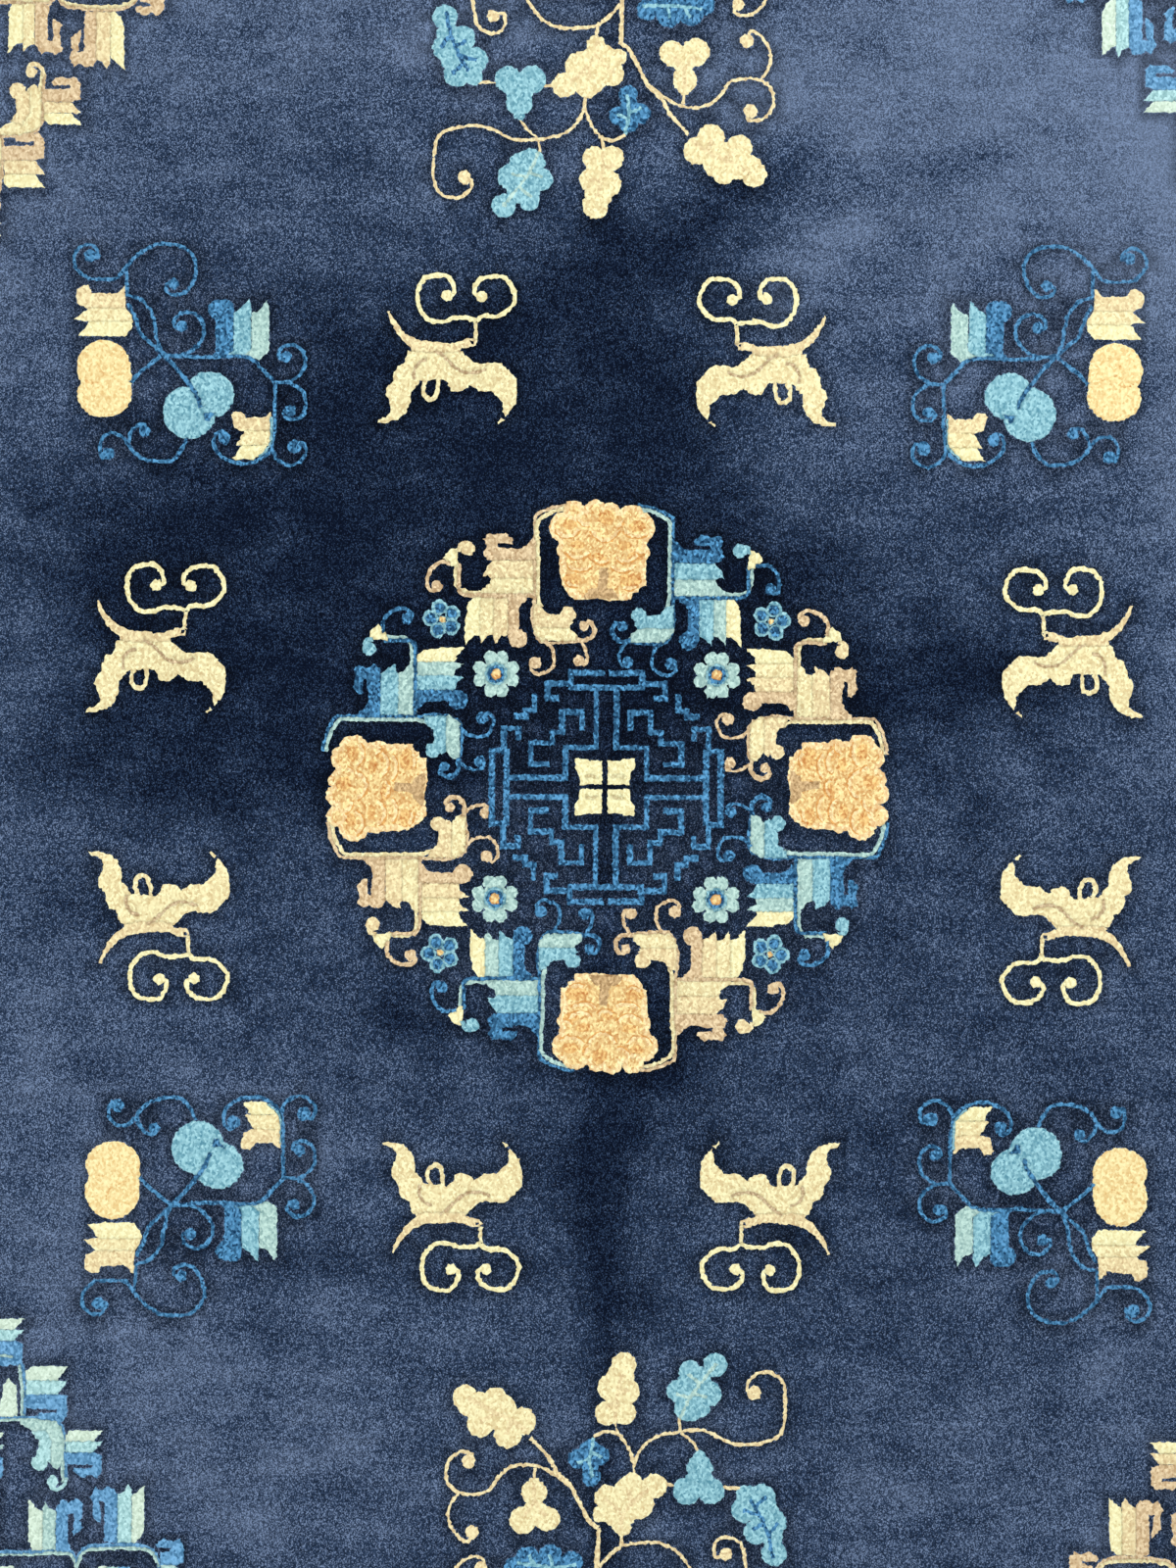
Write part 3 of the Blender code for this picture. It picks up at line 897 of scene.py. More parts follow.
def sound(outline):
    """The outline as pieces whose inside lies on the left, as the triangulation reads it.

    A stem's short step can cross itself once its corners have strayed. Such a step is
    laid as two triangles. An outline starts with its longest side, the steadiest one.
    """
    if len(outline) == 4:
        turns = [turn_at(outline[i - 2], outline[i - 1], outline[i]) > 0 for i in range(4)]
        if any(turns) and not all(turns):
            halves = (outline[:3], [outline[0], *outline[2:]])
            return [part for half in halves for part in sound(half)]
    area = area_of(outline)
    if abs(area) < TINY_AREA:
        return []
    ring = outline if area > 0 else outline[::-1]
    sides = [math.dist(a, b) for a, b in zip(ring, ring[1:] + ring[:1])]
    start = sides.index(max(sides))
    return [ring[start:] + ring[:start]]


sides_of_parts = [len(part) for shape in layout for part in sound(shape.outline)]
print(len(sides_of_parts), "outlines, the longest with", max(sides_of_parts), "sides")

# %% Points of the surface
GROOVE_AT = 0.0023
GROOVE_END = 0.0062
GROOVE_APART = 0.0021
END_APART = 0.0045
LATTICE = 0.026
RIM_STEP_MM = 20
RIM_CLEAR = 0.001
RIM_ROUND = 0.006


def beside(outline, distance):
    """Points at this distance from an outline, on both sides of it."""
    ring = np.array(outline)
    along = np.roll(ring, -1, axis=0) - np.roll(ring, 1, axis=0)
    long = np.maximum(np.hypot(along[:, 0], along[:, 1]), 1e-9)
    across = np.stack([-along[:, 1], along[:, 0]], axis=1) / long[:, None]
    return np.concatenate([ring + distance * across, ring - distance * across])


def rim_points():
    """The pile's own rectangle, with a point at about every step."""
    half_x, half_y = PILE_HALF_X / MM, PILE_HALF_Y / MM
    count_x, count_y = round(2 * half_x / RIM_STEP_MM), round(2 * half_y / RIM_STEP_MM)
    xs = np.linspace(-half_x, half_x, count_x + 1)[:-1]
    ys = np.linspace(-half_y, half_y, count_y + 1)[:-1]
    rim = [(x, -half_y) for x in xs] + [(half_x, y) for y in ys]
    rim += [(-x, half_y) for x in xs] + [(-half_x, -y) for y in ys]
    return [(MM * x, MM * y) for x, y in rim]


def lattice_points():
    """A coarse lattice inside the rim, closer where the carpet was folded in half."""
    xs = list(np.arange(-PILE_HALF_X + LATTICE, PILE_HALF_X - 0.5 * LATTICE, LATTICE))
    xs += [side * step * CREASE_HALF_WIDTH for side in (-1, 1) for step in (0.5, 1.2, 2.2)]
    ys = np.arange(-PILE_HALF_Y + LATTICE, PILE_HALF_Y - 0.5 * LATTICE, LATTICE)
    inner = [PILE_HALF_X - edge for edge in (RIM_ROUND / 3, RIM_ROUND)]
    xs += inner + [-x for x in inner]
    return [(x, y) for x in xs for y in ys]


def thinned(taken, points, apart):
    """The points that stand clear of the taken ones and of each other."""
    cells = {}
    for x, y in taken:
        cells.setdefault((int(x // apart), int(y // apart)), []).append((x, y))
    kept = []
    for x, y in points:
        if abs(x) > PILE_HALF_X - RIM_CLEAR or abs(y) > PILE_HALF_Y - RIM_CLEAR:
            continue
        column, row = int(x // apart), int(y // apart)
        near = [
            spot
            for i in (-1, 0, 1)
            for j in (-1, 0, 1)
            for spot in cells.get((column + i, row + j), ())
        ]
        if all((x - a) ** 2 + (y - b) ** 2 >= apart**2 for a, b in near):
            cells.setdefault((column, row), []).append((x, y))
            kept.append((x, y))
    return kept


print(len(rim_points()), "points round the rim")

# %% All points together
outlines = [rim_points()]
owners = [0]
for number, shape in enumerate(layout, start=1):
    for part in sound(shape.outline):
        outlines.append(part)
        owners.append(number)
points = [spot for outline in outlines for spot in outline]
rings = []
for outline in outlines:
    first = rings[-1][-1] + 1 if rings else 0
    rings.append(list(range(first, first + len(outline))))
free = []
for distance, apart in ((GROOVE_AT, GROOVE_APART), (GROOVE_END, END_APART)):
    ring = np.concatenate([beside(outline, distance) for outline in outlines[1:]])
    free += thinned(points + free, ring.tolist(), apart)
free += thinned(points + free, lattice_points(), END_APART)
print(len(points), "outline points,", len(free), "free points")

# %% Triangulate and dye
found = delaunay_2d_cdt(
    [Vector(spot) for spot in points + free], [], rings, 0, 1e-6, True
)
flat = np.array([(spot.x, spot.y) for spot in found[0]])
triangles = np.array(found[2])
reach = [(min(x), max(x), min(y), max(y)) for x, y in (zip(*outline) for outline in outlines)]


def last_drawn_at(covers, x, y):
    """The shape drawn last of those that cover this place, and that reach it at all."""
    for part in sorted(covers, reverse=True):
        low_x, high_x, low_y, high_y = reach[part]
        if low_x <= x <= high_x and low_y <= y <= high_y:
            return owners[part]
    return 0


middles = flat[triangles].mean(axis=1)
last_drawn = np.array([last_drawn_at(covers, *spot) for covers, spot in zip(found[5], middles)])
DYE_NAMES = list(DYES)
dye_of_shape = np.array([0] + [DYE_NAMES.index(shape.dye) for shape in layout])
PIECES = ["ground"] + list(dict.fromkeys(shape.piece for shape in layout))
piece_of_shape = np.array([0] + [PIECES.index(shape.piece) for shape in layout])
dye = dye_of_shape[last_drawn]
piece = piece_of_shape[last_drawn]
piece[dye == DYE_NAMES.index("navy")] = 0
print(len(flat), "points,", len(triangles), "triangles,", len(PIECES), "pieces")

# %% [markdown]
# ## Carving
#
# The finisher runs shears along every line where two dyes meet. Along a figure they cut
# the ground, so the figure keeps its full height and stands out by a dark line, which here
# is partly the groove's own shade and partly painted shade. Between two bands of one leaf
# they only nick the pile. The depth at each point comes from its distance to the nearest
# such line.

# %% Carved heights
GROOVE_DEPTH = 0.0024
GROOVE_FLAT = 0.0030
GROOVE_GONE = 0.0075
EDGE_DEPTH = 0.0008
NICK_DEPTH = 0.0011
TIP_ROUGHNESS = 0.0004
RIM_DROP = 0.0035
VINE_HALF_WIDTH = 0.30
VINE_FROM = 0.86


def edges_between_dyes():
    """Edges with another dye on their far side, as (ends, whether one is the ground).

    Petals of one flower and the veins of the vines' leaves are only shaded, so edges
    between two golds are left out, and so are edges inside a vine's leaf.
    """
    sides = np.concatenate([triangles[:, [0, 1]], triangles[:, [1, 2]], triangles[:, [2, 0]]])
    owner = np.tile(np.arange(len(triangles)), 3)
    key = np.sort(sides, axis=1)
    order = np.lexsort((key[:, 1], key[:, 0]))
    key, owner = key[order], owner[order]
    same = np.all(key[1:] == key[:-1], axis=1)
    one, other = owner[:-1][same], owner[1:][same]
    ends = key[:-1][same]
    golds = [DYE_NAMES.index(name) for name in GOLDS]
    differ = (dye[one] != dye[other]) & ~(np.isin(dye[one], golds) & np.isin(dye[other], golds))
    ground = (dye[one] == 0) | (dye[other] == 0)
    middles = abs(flat[ends].mean(axis=1))
    differ &= ground | (middles[:, 0] > VINE_HALF_WIDTH) | (middles[:, 1] < VINE_FROM)
    return ends[differ], ground[differ]


def distance_to(ends):
    """Each point's distance to the nearest of these edges."""
    samples = np.concatenate([flat[ends[:, 0]], flat[ends[:, 1]], flat[ends].mean(axis=1)])
    tree = KDTree(len(samples))
    for i, (x, y) in enumerate(samples):
        tree.insert((x, y, 0.0), i)
    tree.balance()
    return np.array([tree.find((x, y, 0.0))[2] for x, y in flat])


def fading(distance, first, last):
    """1 up to the first distance, 0 from the last one on, and smooth between them."""
    share = np.clip((distance - first) / (last - first), 0.0, 1.0)
    return 1 - share * share * (3 - 2 * share)


line_ends, at_ground = edges_between_dyes()
corners_met = np.bincount(triangles.ravel(), minlength=len(flat))
ground_met = np.bincount(triangles[dye == 0].ravel(), minlength=len(flat))
in_ground = ground_met == corners_met
on_edge = (ground_met > 0) & ~in_ground
groove = fading(distance_to(line_ends[at_ground]), GROOVE_FLAT, GROOVE_GONE) * in_ground
nick = fading(distance_to(line_ends[~at_ground]), 0.0, GROOVE_AT) * ~in_ground
carved = GROOVE_DEPTH * groove + NICK_DEPTH * nick + EDGE_DEPTH * on_edge
to_rim = np.minimum(PILE_HALF_X - abs(flat[:, 0]), PILE_HALF_Y - abs(flat[:, 1]))
chance = np.random.default_rng(53)
heights = PILE_TOP + lie(flat[:, 0], flat[:, 1]) - carved
heights += TIP_ROUGHNESS * chance.uniform(-1, 1, len(flat))
heights -= RIM_DROP * np.clip(1 - to_rim / RIM_ROUND, 0, 1) ** 2
print("carved lines", round(float(np.linalg.norm(
    flat[line_ends[:, 0]] - flat[line_ends[:, 1]], axis=1).sum()), 1), "m")

# %% [markdown]
# ## Nap
#
# Cut pile leans one way. Where it has been brushed, pressed or folded it leans another,
# and the same wool looks much lighter or darker. On a navy carpet these patches are the
# first thing one sees. They are listed like the folds: a middle, a direction,
# a half length and half width, and how light (above 0) or dark the patch is. Each point
# of the surface keeps the sum as an attribute, and the wool's material reads it.

# %% Nap patches of painted sheen and shade
# Each patch is painted into the wool's colour: painted sheen where light is above 0, painted shade
# where it is below
Nap = namedtuple("Nap", "x y turn_deg half_length half_width light")
NAP_SHEEN_AND_SHADE = (
    Nap(0.75, 1.10, 0, 0.40, 0.26, 0.85),
    Nap(0.33, 1.08, 20, 0.14, 0.07, 0.35),
    Nap(0.98, 0.98, 90, 0.18, 0.10, 0.45),
    Nap(0.98, 0.45, 90, 0.35, 0.14, 0.40),
    Nap(0.50, 0.60, 0, 0.25, 0.14, 0.20),
    Nap(0.29, 0.80, 50, 0.12, 0.045, 0.45),
    Nap(-0.60, 1.25, 0, 0.40, 0.22, 0.50),
    Nap(-0.98, 0.85, 90, 0.25, 0.13, 0.55),
    Nap(-0.97, 0.15, 90, 0.25, 0.08, 0.20),
    Nap(-0.95, -0.60, 90, 0.35, 0.20, 0.42),
    Nap(-0.48, -0.55, 0, 0.14, 0.09, 0.35),
    Nap(-0.60, -1.05, 0, 0.35, 0.19, 0.44),
    Nap(0.68, -1.08, 0, 0.35, 0.18, 0.36),
    Nap(0.76, -0.76, 0, 0.13, 0.10, 0.20),
    Nap(0.98, -0.30, 90, 0.50, 0.12, 0.22),
    Nap(-0.45, 0.28, 0, 0.24, 0.15, -1.50),
    Nap(-0.62, 0.03, 0, 0.22, 0.06, -0.60),
    Nap(-0.02, 0.60, 90, 0.15, 0.14, -1.25),
    Nap(-0.34, 0.62, 5, 0.14, 0.06, -0.75),
    Nap(-0.45, 0.74, 0, 0.10, 0.04, -0.30),
    Nap(0.08, 0.22, -10, 0.14, 0.07, -0.90),
    Nap(0.12, 0.31, 0, 0.05, 0.05, -0.75),
    Nap(0.46, 0.17, 0, 0.16, 0.05, -0.95),
    Nap(0.28, 0.355, 10, 0.08, 0.03, -0.65),
    Nap(0.60, 0.30, 0, 0.08, 0.04, -0.25),
    Nap(0.20, 0.30, 0, 0.08, 0.08, -0.35),
    Nap(0.00, 0.04, 0, 0.30, 0.07, -0.30),
    Nap(0.18, 0.91, 30, 0.15, 0.045, -0.85),
    Nap(0.54, 0.985, 10, 0.14, 0.022, -0.40),
    Nap(-0.85, -0.19, 0, 0.12, 0.035, -0.45),
    Nap(0.09, -0.40, 90, 0.10, 0.045, -0.60),
    Nap(0.01, -0.54, 90, 0.09, 0.032, -0.60),
    Nap(0.00, -0.80, 90, 0.12, 0.025, -0.35),
    Nap(-0.04, -0.60, 90, 0.14, 0.09, -0.25),
    Nap(-0.36, 0.42, 0, 0.12, 0.05, -0.40),
    Nap(-0.86, 0.42, 0, 0.12, 0.08, -0.25),
    Nap(0.92, 1.01, 0, 0.07, 0.07, 0.45),
    Nap(0.20, 1.12, 0, 0.06, 0.06, 0.35),
    Nap(-0.18, 1.20, 0, 0.07, 0.05, 0.35),
    Nap(-0.32, -0.38, 0, 0.08, 0.035, -0.45),
    Nap(-0.50, -0.74, 0, 0.10, 0.03, -0.30),
    Nap(0.40, -0.84, 0, 0.24, 0.12, -0.14),
)

# %% Painted nap sheen and shade over the whole carpet
NAP_CONTRAST = 1.12
NAP_DARKER = 0.09
NAP_LOWEST = -0.85
CREASE_PAINTED_SHADE = -0.55
CREASE_PAINTED_SHADE_AT = -0.004
CREASE_PAINTED_SHADE_WIDTH = 0.018
FOLD_PAINTED_LIGHT = 30.0
FOLD_PAINTED_LIGHT_WIDTH = 0.6


def painted_nap_light_at(x, y):
    """How the pile leans, as painted sheen and shade, from NAP_LOWEST (dark) to about 1.8 (light)."""
    # Painted shade along the crease, where the carpet was folded in half
    crease_wave = 0.7 + 0.3 * np.sin(9.0 * y + 0.8)
    nap = CREASE_PAINTED_SHADE * bell(x - CREASE_PAINTED_SHADE_AT, CREASE_PAINTED_SHADE_WIDTH) * crease_wave
    for patch in NAP_SHEEN_AND_SHADE:
        nap = nap + patch.light * bump(x, y, *patch[:5])
    # Painted light where a fold rises and painted shade where it sinks
    for fold in FOLDS:
        narrow = FOLD_PAINTED_LIGHT_WIDTH * fold.half_width
        nap = nap + FOLD_PAINTED_LIGHT * fold.rise * bump(x, y, *fold[:4], narrow)
    return np.maximum(NAP_CONTRAST * nap - NAP_DARKER, NAP_LOWEST)


nap = painted_nap_light_at(flat[:, 0], flat[:, 1])
print("nap from", round(float(nap.min()), 2), "to", round(float(nap.max()), 2))

# %% [markdown]
# ## Wool
#
# Hand-spun sheep's wool, dyed in the yarn and cut to a pile. The eye gets no gloss from
# it: light goes in between the tips and comes out soft, with a pale bloom at a low
# angle. Principled's sheen gives that bloom, over a rough base with little specular.
# One yarn never matches the next, so each grain varies a little, and rows vary too.
# Where the nap leans to the light the tips turn grey-blue, and where it leans away one
# looks between them, into near black. Both are painted into the colour, as painted sheen
# and painted shade. A little cloudiness is added to the nap's painted patches.

# %% Colour and node helpers
def linear(hex_colour):
    """An sRGB hex value as the linear colour that a shader works with."""
    parts = [int(hex_colour[i : i + 2], 16) / 255 for i in (1, 3, 5)]
    return tuple(p / 12.92 if p <= 0.04045 else ((p + 0.055) / 1.055) ** 2.4 for p in parts) + (1.0,)


def add(tree, kind, links=None, **settings):
    """A node with its settings. An input is given a value, an output, or a whole node,
    which stands for that node's first output in use."""
    node = tree.nodes.new(kind)
    for name, value in settings.items():
        setattr(node, name, value)
    for socket, value in (links or {}).items():
        if isinstance(value, bpy.types.Node):
            value = next(output for output in value.outputs if output.enabled)
        if isinstance(value, bpy.types.NodeSocket):
            tree.links.new(value, node.inputs[socket])
        else:
            node.inputs[socket].default_value = value
    return node


def plain_material(name, roughness, specular):
    """A new material, as (material, tree, shader), with its gloss set."""
    material = bpy.data.materials.new(name)
    material.use_nodes = True
    shader = material.node_tree.nodes["Principled BSDF"]
    shader.inputs["Roughness"].default_value = roughness
    shader.inputs["Specular IOR Level"].default_value = specular
    return material, material.node_tree, shader


print("mid grey as light:", round(linear("#808080")[0], 3))

# %% Wool's sizes, and the colours of its painted sheen and shade
FIBRE = 0.0015
MOTTLE = 0.0065
ROW = 1.1 * KNOT
CLOUD = 0.12
BRUSH = 0.05
GRAIN_TIP_HIGHLIGHT = 1.35
GROOVE_SHADE = 0.50
TUFT_RELIEF = 0.0015
FIBRE_RELIEF = 0.0012
NAP_PAINTED_SHEEN = linear("#60708a")
NAP_PAINTED_SHADE = linear("#050f22")


def wool_grains(tree, at, cell_mm):
    """A chance value for each cut yarn's end, in cells a little taller than wide."""
    upright = add(tree, "ShaderNodeVectorMath", {0: at, 1: (1, 0.75, 0)}, operation="MULTIPLY")
    cells = add(tree, "ShaderNodeTexVoronoi", {"Vector": upright, "Scale": 1 / (MM * cell_mm)},
                voronoi_dimensions="2D")
    return add(tree, "ShaderNodeSeparateColor", {0: cells.outputs["Color"]})


def wool_nap_light(tree, at, grains):
    """The nap's painted sheen and shade at a place: the patches laid out above, clouds, brushed
    streaks and grain.
    """
    cloud = add(tree, "ShaderNodeTexNoise",
                {"Vector": at, "Scale": 1 / CLOUD, "Detail": 2.0, "Roughness": 0.6},
                noise_dimensions="2D")
    cloud = add(tree, "ShaderNodeMath", {0: cloud, 1: 0.9, 2: -0.45}, operation="MULTIPLY_ADD")
    streaky = add(tree, "ShaderNodeVectorMath", {0: at, 1: (0.4, 1, 0)}, operation="MULTIPLY")
    brushed = add(tree, "ShaderNodeTexNoise",
                  {"Vector": streaky, "Scale": 1 / BRUSH, "Detail": 2.0, "Roughness": 0.6},
                  noise_dimensions="2D")
    brushed = add(tree, "ShaderNodeMath", {0: brushed, 1: 0.9, 2: -0.48},
                  operation="MULTIPLY_ADD")
    # Bright grains are lit tips: a painted highlight that pushes them towards the painted sheen
    tip = add(tree, "ShaderNodeMath", {0: grains, 1: 3.0}, operation="POWER")
    tip = add(tree, "ShaderNodeMath", {0: tip, 1: GRAIN_TIP_HIGHLIGHT, 2: -0.25 * GRAIN_TIP_HIGHLIGHT},
              operation="MULTIPLY_ADD")
    lean_light = add(tree, "ShaderNodeAttribute", attribute_name="nap").outputs["Fac"]
    for part in (cloud, brushed, tip):
        lean_light = add(tree, "ShaderNodeMath", {0: lean_light, 1: part}, operation="ADD")
    return lean_light


print("a row of knots:", round(1000 * ROW, 1), "mm")

# %% Wool material
def wool_material(name, dye):
    """Cut wool pile in one dye."""
    wool, tree, shader = plain_material(f"{name}_wool_pile", roughness=0.95, specular=0.06)
    at = add(tree, "ShaderNodeTexCoord").outputs["Object"]
    at = add(tree, "ShaderNodeVectorMath", {0: at, 1: (1, 1, 0)}, operation="MULTIPLY")
    grains = wool_grains(tree, at, dye.cell_mm)
    lean_light = wool_nap_light(tree, at, grains)

    # The yarn is uneven, and the nap's lean is painted in: painted sheen towards the light, painted
    # shade towards the dark
    mottle = add(tree, "ShaderNodeTexNoise",
                 {"Vector": at, "Scale": 1 / MOTTLE, "Detail": 3.0, "Roughness": 0.6},
                 noise_dimensions="2D")
    mottle = add(tree, "ShaderNodeMath", {0: mottle, 1: 3.4, 2: -1.2},
                 operation="MULTIPLY_ADD", use_clamp=True)
    mottle = add(tree, "ShaderNodeMath", {0: mottle, 1: dye.mottling, 2: dye.speckle},
                 operation="MULTIPLY_ADD")
    mottle = add(tree, "ShaderNodeMath", {0: grains, 1: -dye.speckle, 2: mottle},
                 operation="MULTIPLY_ADD", use_clamp=True)
    tone = add(tree, "ShaderNodeMix", {0: mottle, 6: linear(dye.colour), 7: linear(dye.mottle)},
               data_type="RGBA")
    for strength, painted_nap_colour in ((dye.nap, NAP_PAINTED_SHEEN), (-dye.nap, NAP_PAINTED_SHADE)):
        share = add(tree, "ShaderNodeMath", {0: lean_light, 1: strength}, operation="MULTIPLY",
                    use_clamp=True)
        tone = add(tree, "ShaderNodeMix", {0: share, 6: tone, 7: painted_nap_colour}, data_type="RGBA")

    # Uneven tufts and rows of knots, and a painted shade in each carved line
    fibres = add(tree, "ShaderNodeTexNoise",
                 {"Vector": at, "Scale": 1 / FIBRE, "Detail": 2.0, "Roughness": 0.6},
                 noise_dimensions="2D")
    along_rows = add(tree, "ShaderNodeVectorMath", {0: at, 1: (0.06, 1, 0)},
                     operation="MULTIPLY")
    rows = add(tree, "ShaderNodeTexNoise", {"Vector": along_rows, "Scale": 1 / ROW, "Detail": 1.0},
               noise_dimensions="2D")
    # The carved attribute is painted shade: how much darker the wool is painted in grooves and nicks
    carved = add(tree, "ShaderNodeAttribute", attribute_name="carved").outputs["Fac"]
    shade = 1.0
    # The grains' bright and dark cells are partly yarn that differs at random, partly painted
    # highlight on lit tips and painted shade in the gaps
    for pattern, swing, start in (
        (grains, 1.10 * dye.grain, 1 - 0.55 * dye.grain),
        (fibres, 0.25 * dye.grain, 1 - 0.12 * dye.grain),
        (rows, 0.32 * dye.grain, 1 - 0.16 * dye.grain),
        (carved, -GROOVE_SHADE, 1.0),
    ):
        part = add(tree, "ShaderNodeMath", {0: pattern, 1: swing, 2: start},
                   operation="MULTIPLY_ADD")
        shade = add(tree, "ShaderNodeMath", {0: shade, 1: part}, operation="MULTIPLY")
    tone = add(tree, "ShaderNodeVectorMath", {0: tone, "Scale": shade}, operation="SCALE")
    tree.links.new(tone.outputs[0], shader.inputs["Base Color"])

    # Each tuft is a small round cushion, with loose fibres on it
    tufts = add(tree, "ShaderNodeTexVoronoi", {"Vector": at, "Scale": 1 / KNOT, "Randomness": 0.6},
                voronoi_dimensions="2D")
    domes = add(tree, "ShaderNodeMath", {0: tufts, 1: -0.9, 2: 1.0}, operation="MULTIPLY_ADD")
    cushion = add(tree, "ShaderNodeBump",
                  {"Height": domes, "Strength": 0.5, "Distance": TUFT_RELIEF})
    loose = add(tree, "ShaderNodeBump", {"Height": fibres, "Normal": cushion, "Strength": 0.6,
                                         "Distance": FIBRE_RELIEF})
    tree.links.new(loose.outputs[0], shader.inputs["Normal"])
    shader.inputs["Sheen Weight"].default_value = 0.03
    shader.inputs["Sheen Roughness"].default_value = 0.45
    shader.inputs["Sheen Tint"].default_value = linear("#a9bbe0")
    return wool


wools = [wool_material(name, dye) for name, dye in DYES.items()]
print(len(wools), "dyes")

# %% [markdown]
# ## The pile's pieces
#
# The surface is cut into its motifs, so each can be found and used by name. Cuts follow
# the figures' edges, where the pieces meet point to point and nobody can see a seam. The
# surface comes from the triangulation, so its meshes are filled with data, not modelled
# with operators. The ground also gets the pile's outer wall, down to the foundation.

# %% Make the pieces
NICK_SHADE = 0.55


def piece_mesh(name, faces, dyes):
    """One piece of the pile, with only the points and dyes that it uses."""
    used, index = np.unique(faces, return_inverse=True)
    index = index.reshape(faces.shape)
    x, y = wander(flat[used, 0], flat[used, 1])
    spots = np.stack([x, y, heights[used]], axis=1)
    mesh = bpy.data.meshes.new(name)
    mesh.from_pydata(spots.tolist(), [], index.tolist())
    slots = np.unique(dyes)
    for slot in slots:
        mesh.materials.append(wools[slot])
    mesh.polygons.foreach_set("material_index", np.searchsorted(slots, dyes).astype(np.int32))
    # Painted shade for the grooves in the ground and the nicks inside the figures, kept in the carved
    # attribute
    shade = groove if name == "ground" else NICK_SHADE * nick
    for label, values in (("nap", nap), ("carved", shade)):
        layer = mesh.attributes.new(label, "FLOAT", "POINT")
        layer.data.foreach_set("value", values[used].astype(np.float32))
    mesh.shade_smooth()
    thing = bpy.data.objects.new(name, mesh)
    bpy.context.scene.collection.objects.link(thing)
    return thing


pile = {}
for number, name in enumerate(PIECES):
    mine = piece == number
    pile[name] = piece_mesh(name, triangles[mine], dye[mine])
    print(name, len(pile[name].data.polygons), "triangles")

# %% The ground's wall
WALL_FOOT = 0.0024


def wall_round(thing):
    """Pulls the pile's outer rim down into the foundation."""
    shape = bmesh.new()
    shape.from_mesh(thing.data)
    rim_x, rim_y = PILE_HALF_X - RIM_ROUND, PILE_HALF_Y - RIM_ROUND
    rim = [
        edge for edge in shape.edges
        if edge.is_boundary
        and all(abs(v.co.x) > rim_x or abs(v.co.y) > rim_y for v in edge.verts)
    ]
    pulled = bmesh.ops.extrude_edge_only(shape, edges=rim)
    for item in pulled["geom"]:
        if isinstance(item, bmesh.types.BMVert):
            item.co.z = WALL_FOOT
    bmesh.ops.recalc_face_normals(shape, faces=list(shape.faces))
    if sum(face.normal.z for face in shape.faces) < 0:
        bmesh.ops.reverse_faces(shape, faces=list(shape.faces))
    shape.to_mesh(thing.data)
    shape.free()
    return len(rim)


print("rim edges", wall_round(pile["ground"]))

# %% [markdown]
# ## Foundation
#
# Under the pile lies the cotton foundation: warps along the carpet, with wefts beaten in
# after each row of knots. It shows as a short web at both ends and as the flat back. A
# grid is the natural start. Solidify gives it its thickness, and its edge points then
# take the same wander as the pile.

# %% Cotton foundation
FOUNDATION_HALF_X = RUG_WIDTH / 2 - 0.5 * SELVEDGE_WIDTH
bpy.ops.object.select_all(action="DESELECT")
bpy.ops.mesh.primitive_grid_add(x_subdivisions=54, y_subdivisions=74, size=2.0)
foundation = bpy.context.active_object
foundation.name = "foundation"
foundation.scale = (FOUNDATION_HALF_X, RUG_LENGTH / 2, 1.0)
bpy.ops.object.transform_apply(location=False, rotation=False, scale=True)
thicken = foundation.modifiers.new("thickness", "SOLIDIFY")
thicken.thickness = FOUNDATION_TOP
thicken.offset = 1.0
bpy.ops.object.modifier_apply(modifier=thicken.name)


def follow_loom(thing):
    """Gives a straight piece the wandering edges that the pile has."""
    for point in thing.data.vertices:
        point.co.x, point.co.y = wander(point.co.x, point.co.y)


follow_loom(foundation)
print("foundation", len(foundation.data.polygons), "faces, top",
      round(max(point.co.z for point in foundation.data.vertices), 4))

# %% [markdown]
# ## Selvedges
#
# The weaver overcasts both long edges with wool, turn after turn, round the last few
# warps. One turn is a short ring that bulges in its middle. It is modelled once from a
# circle, and an array lays more than nine hundred of them end to end.

# %% Overcast edges
TURN_PITCH = 0.004
SELVEDGE_HALF_HEIGHT = 0.0047
SELVEDGE_CLEAR = 0.0002
TURN_BULGE = 1.10


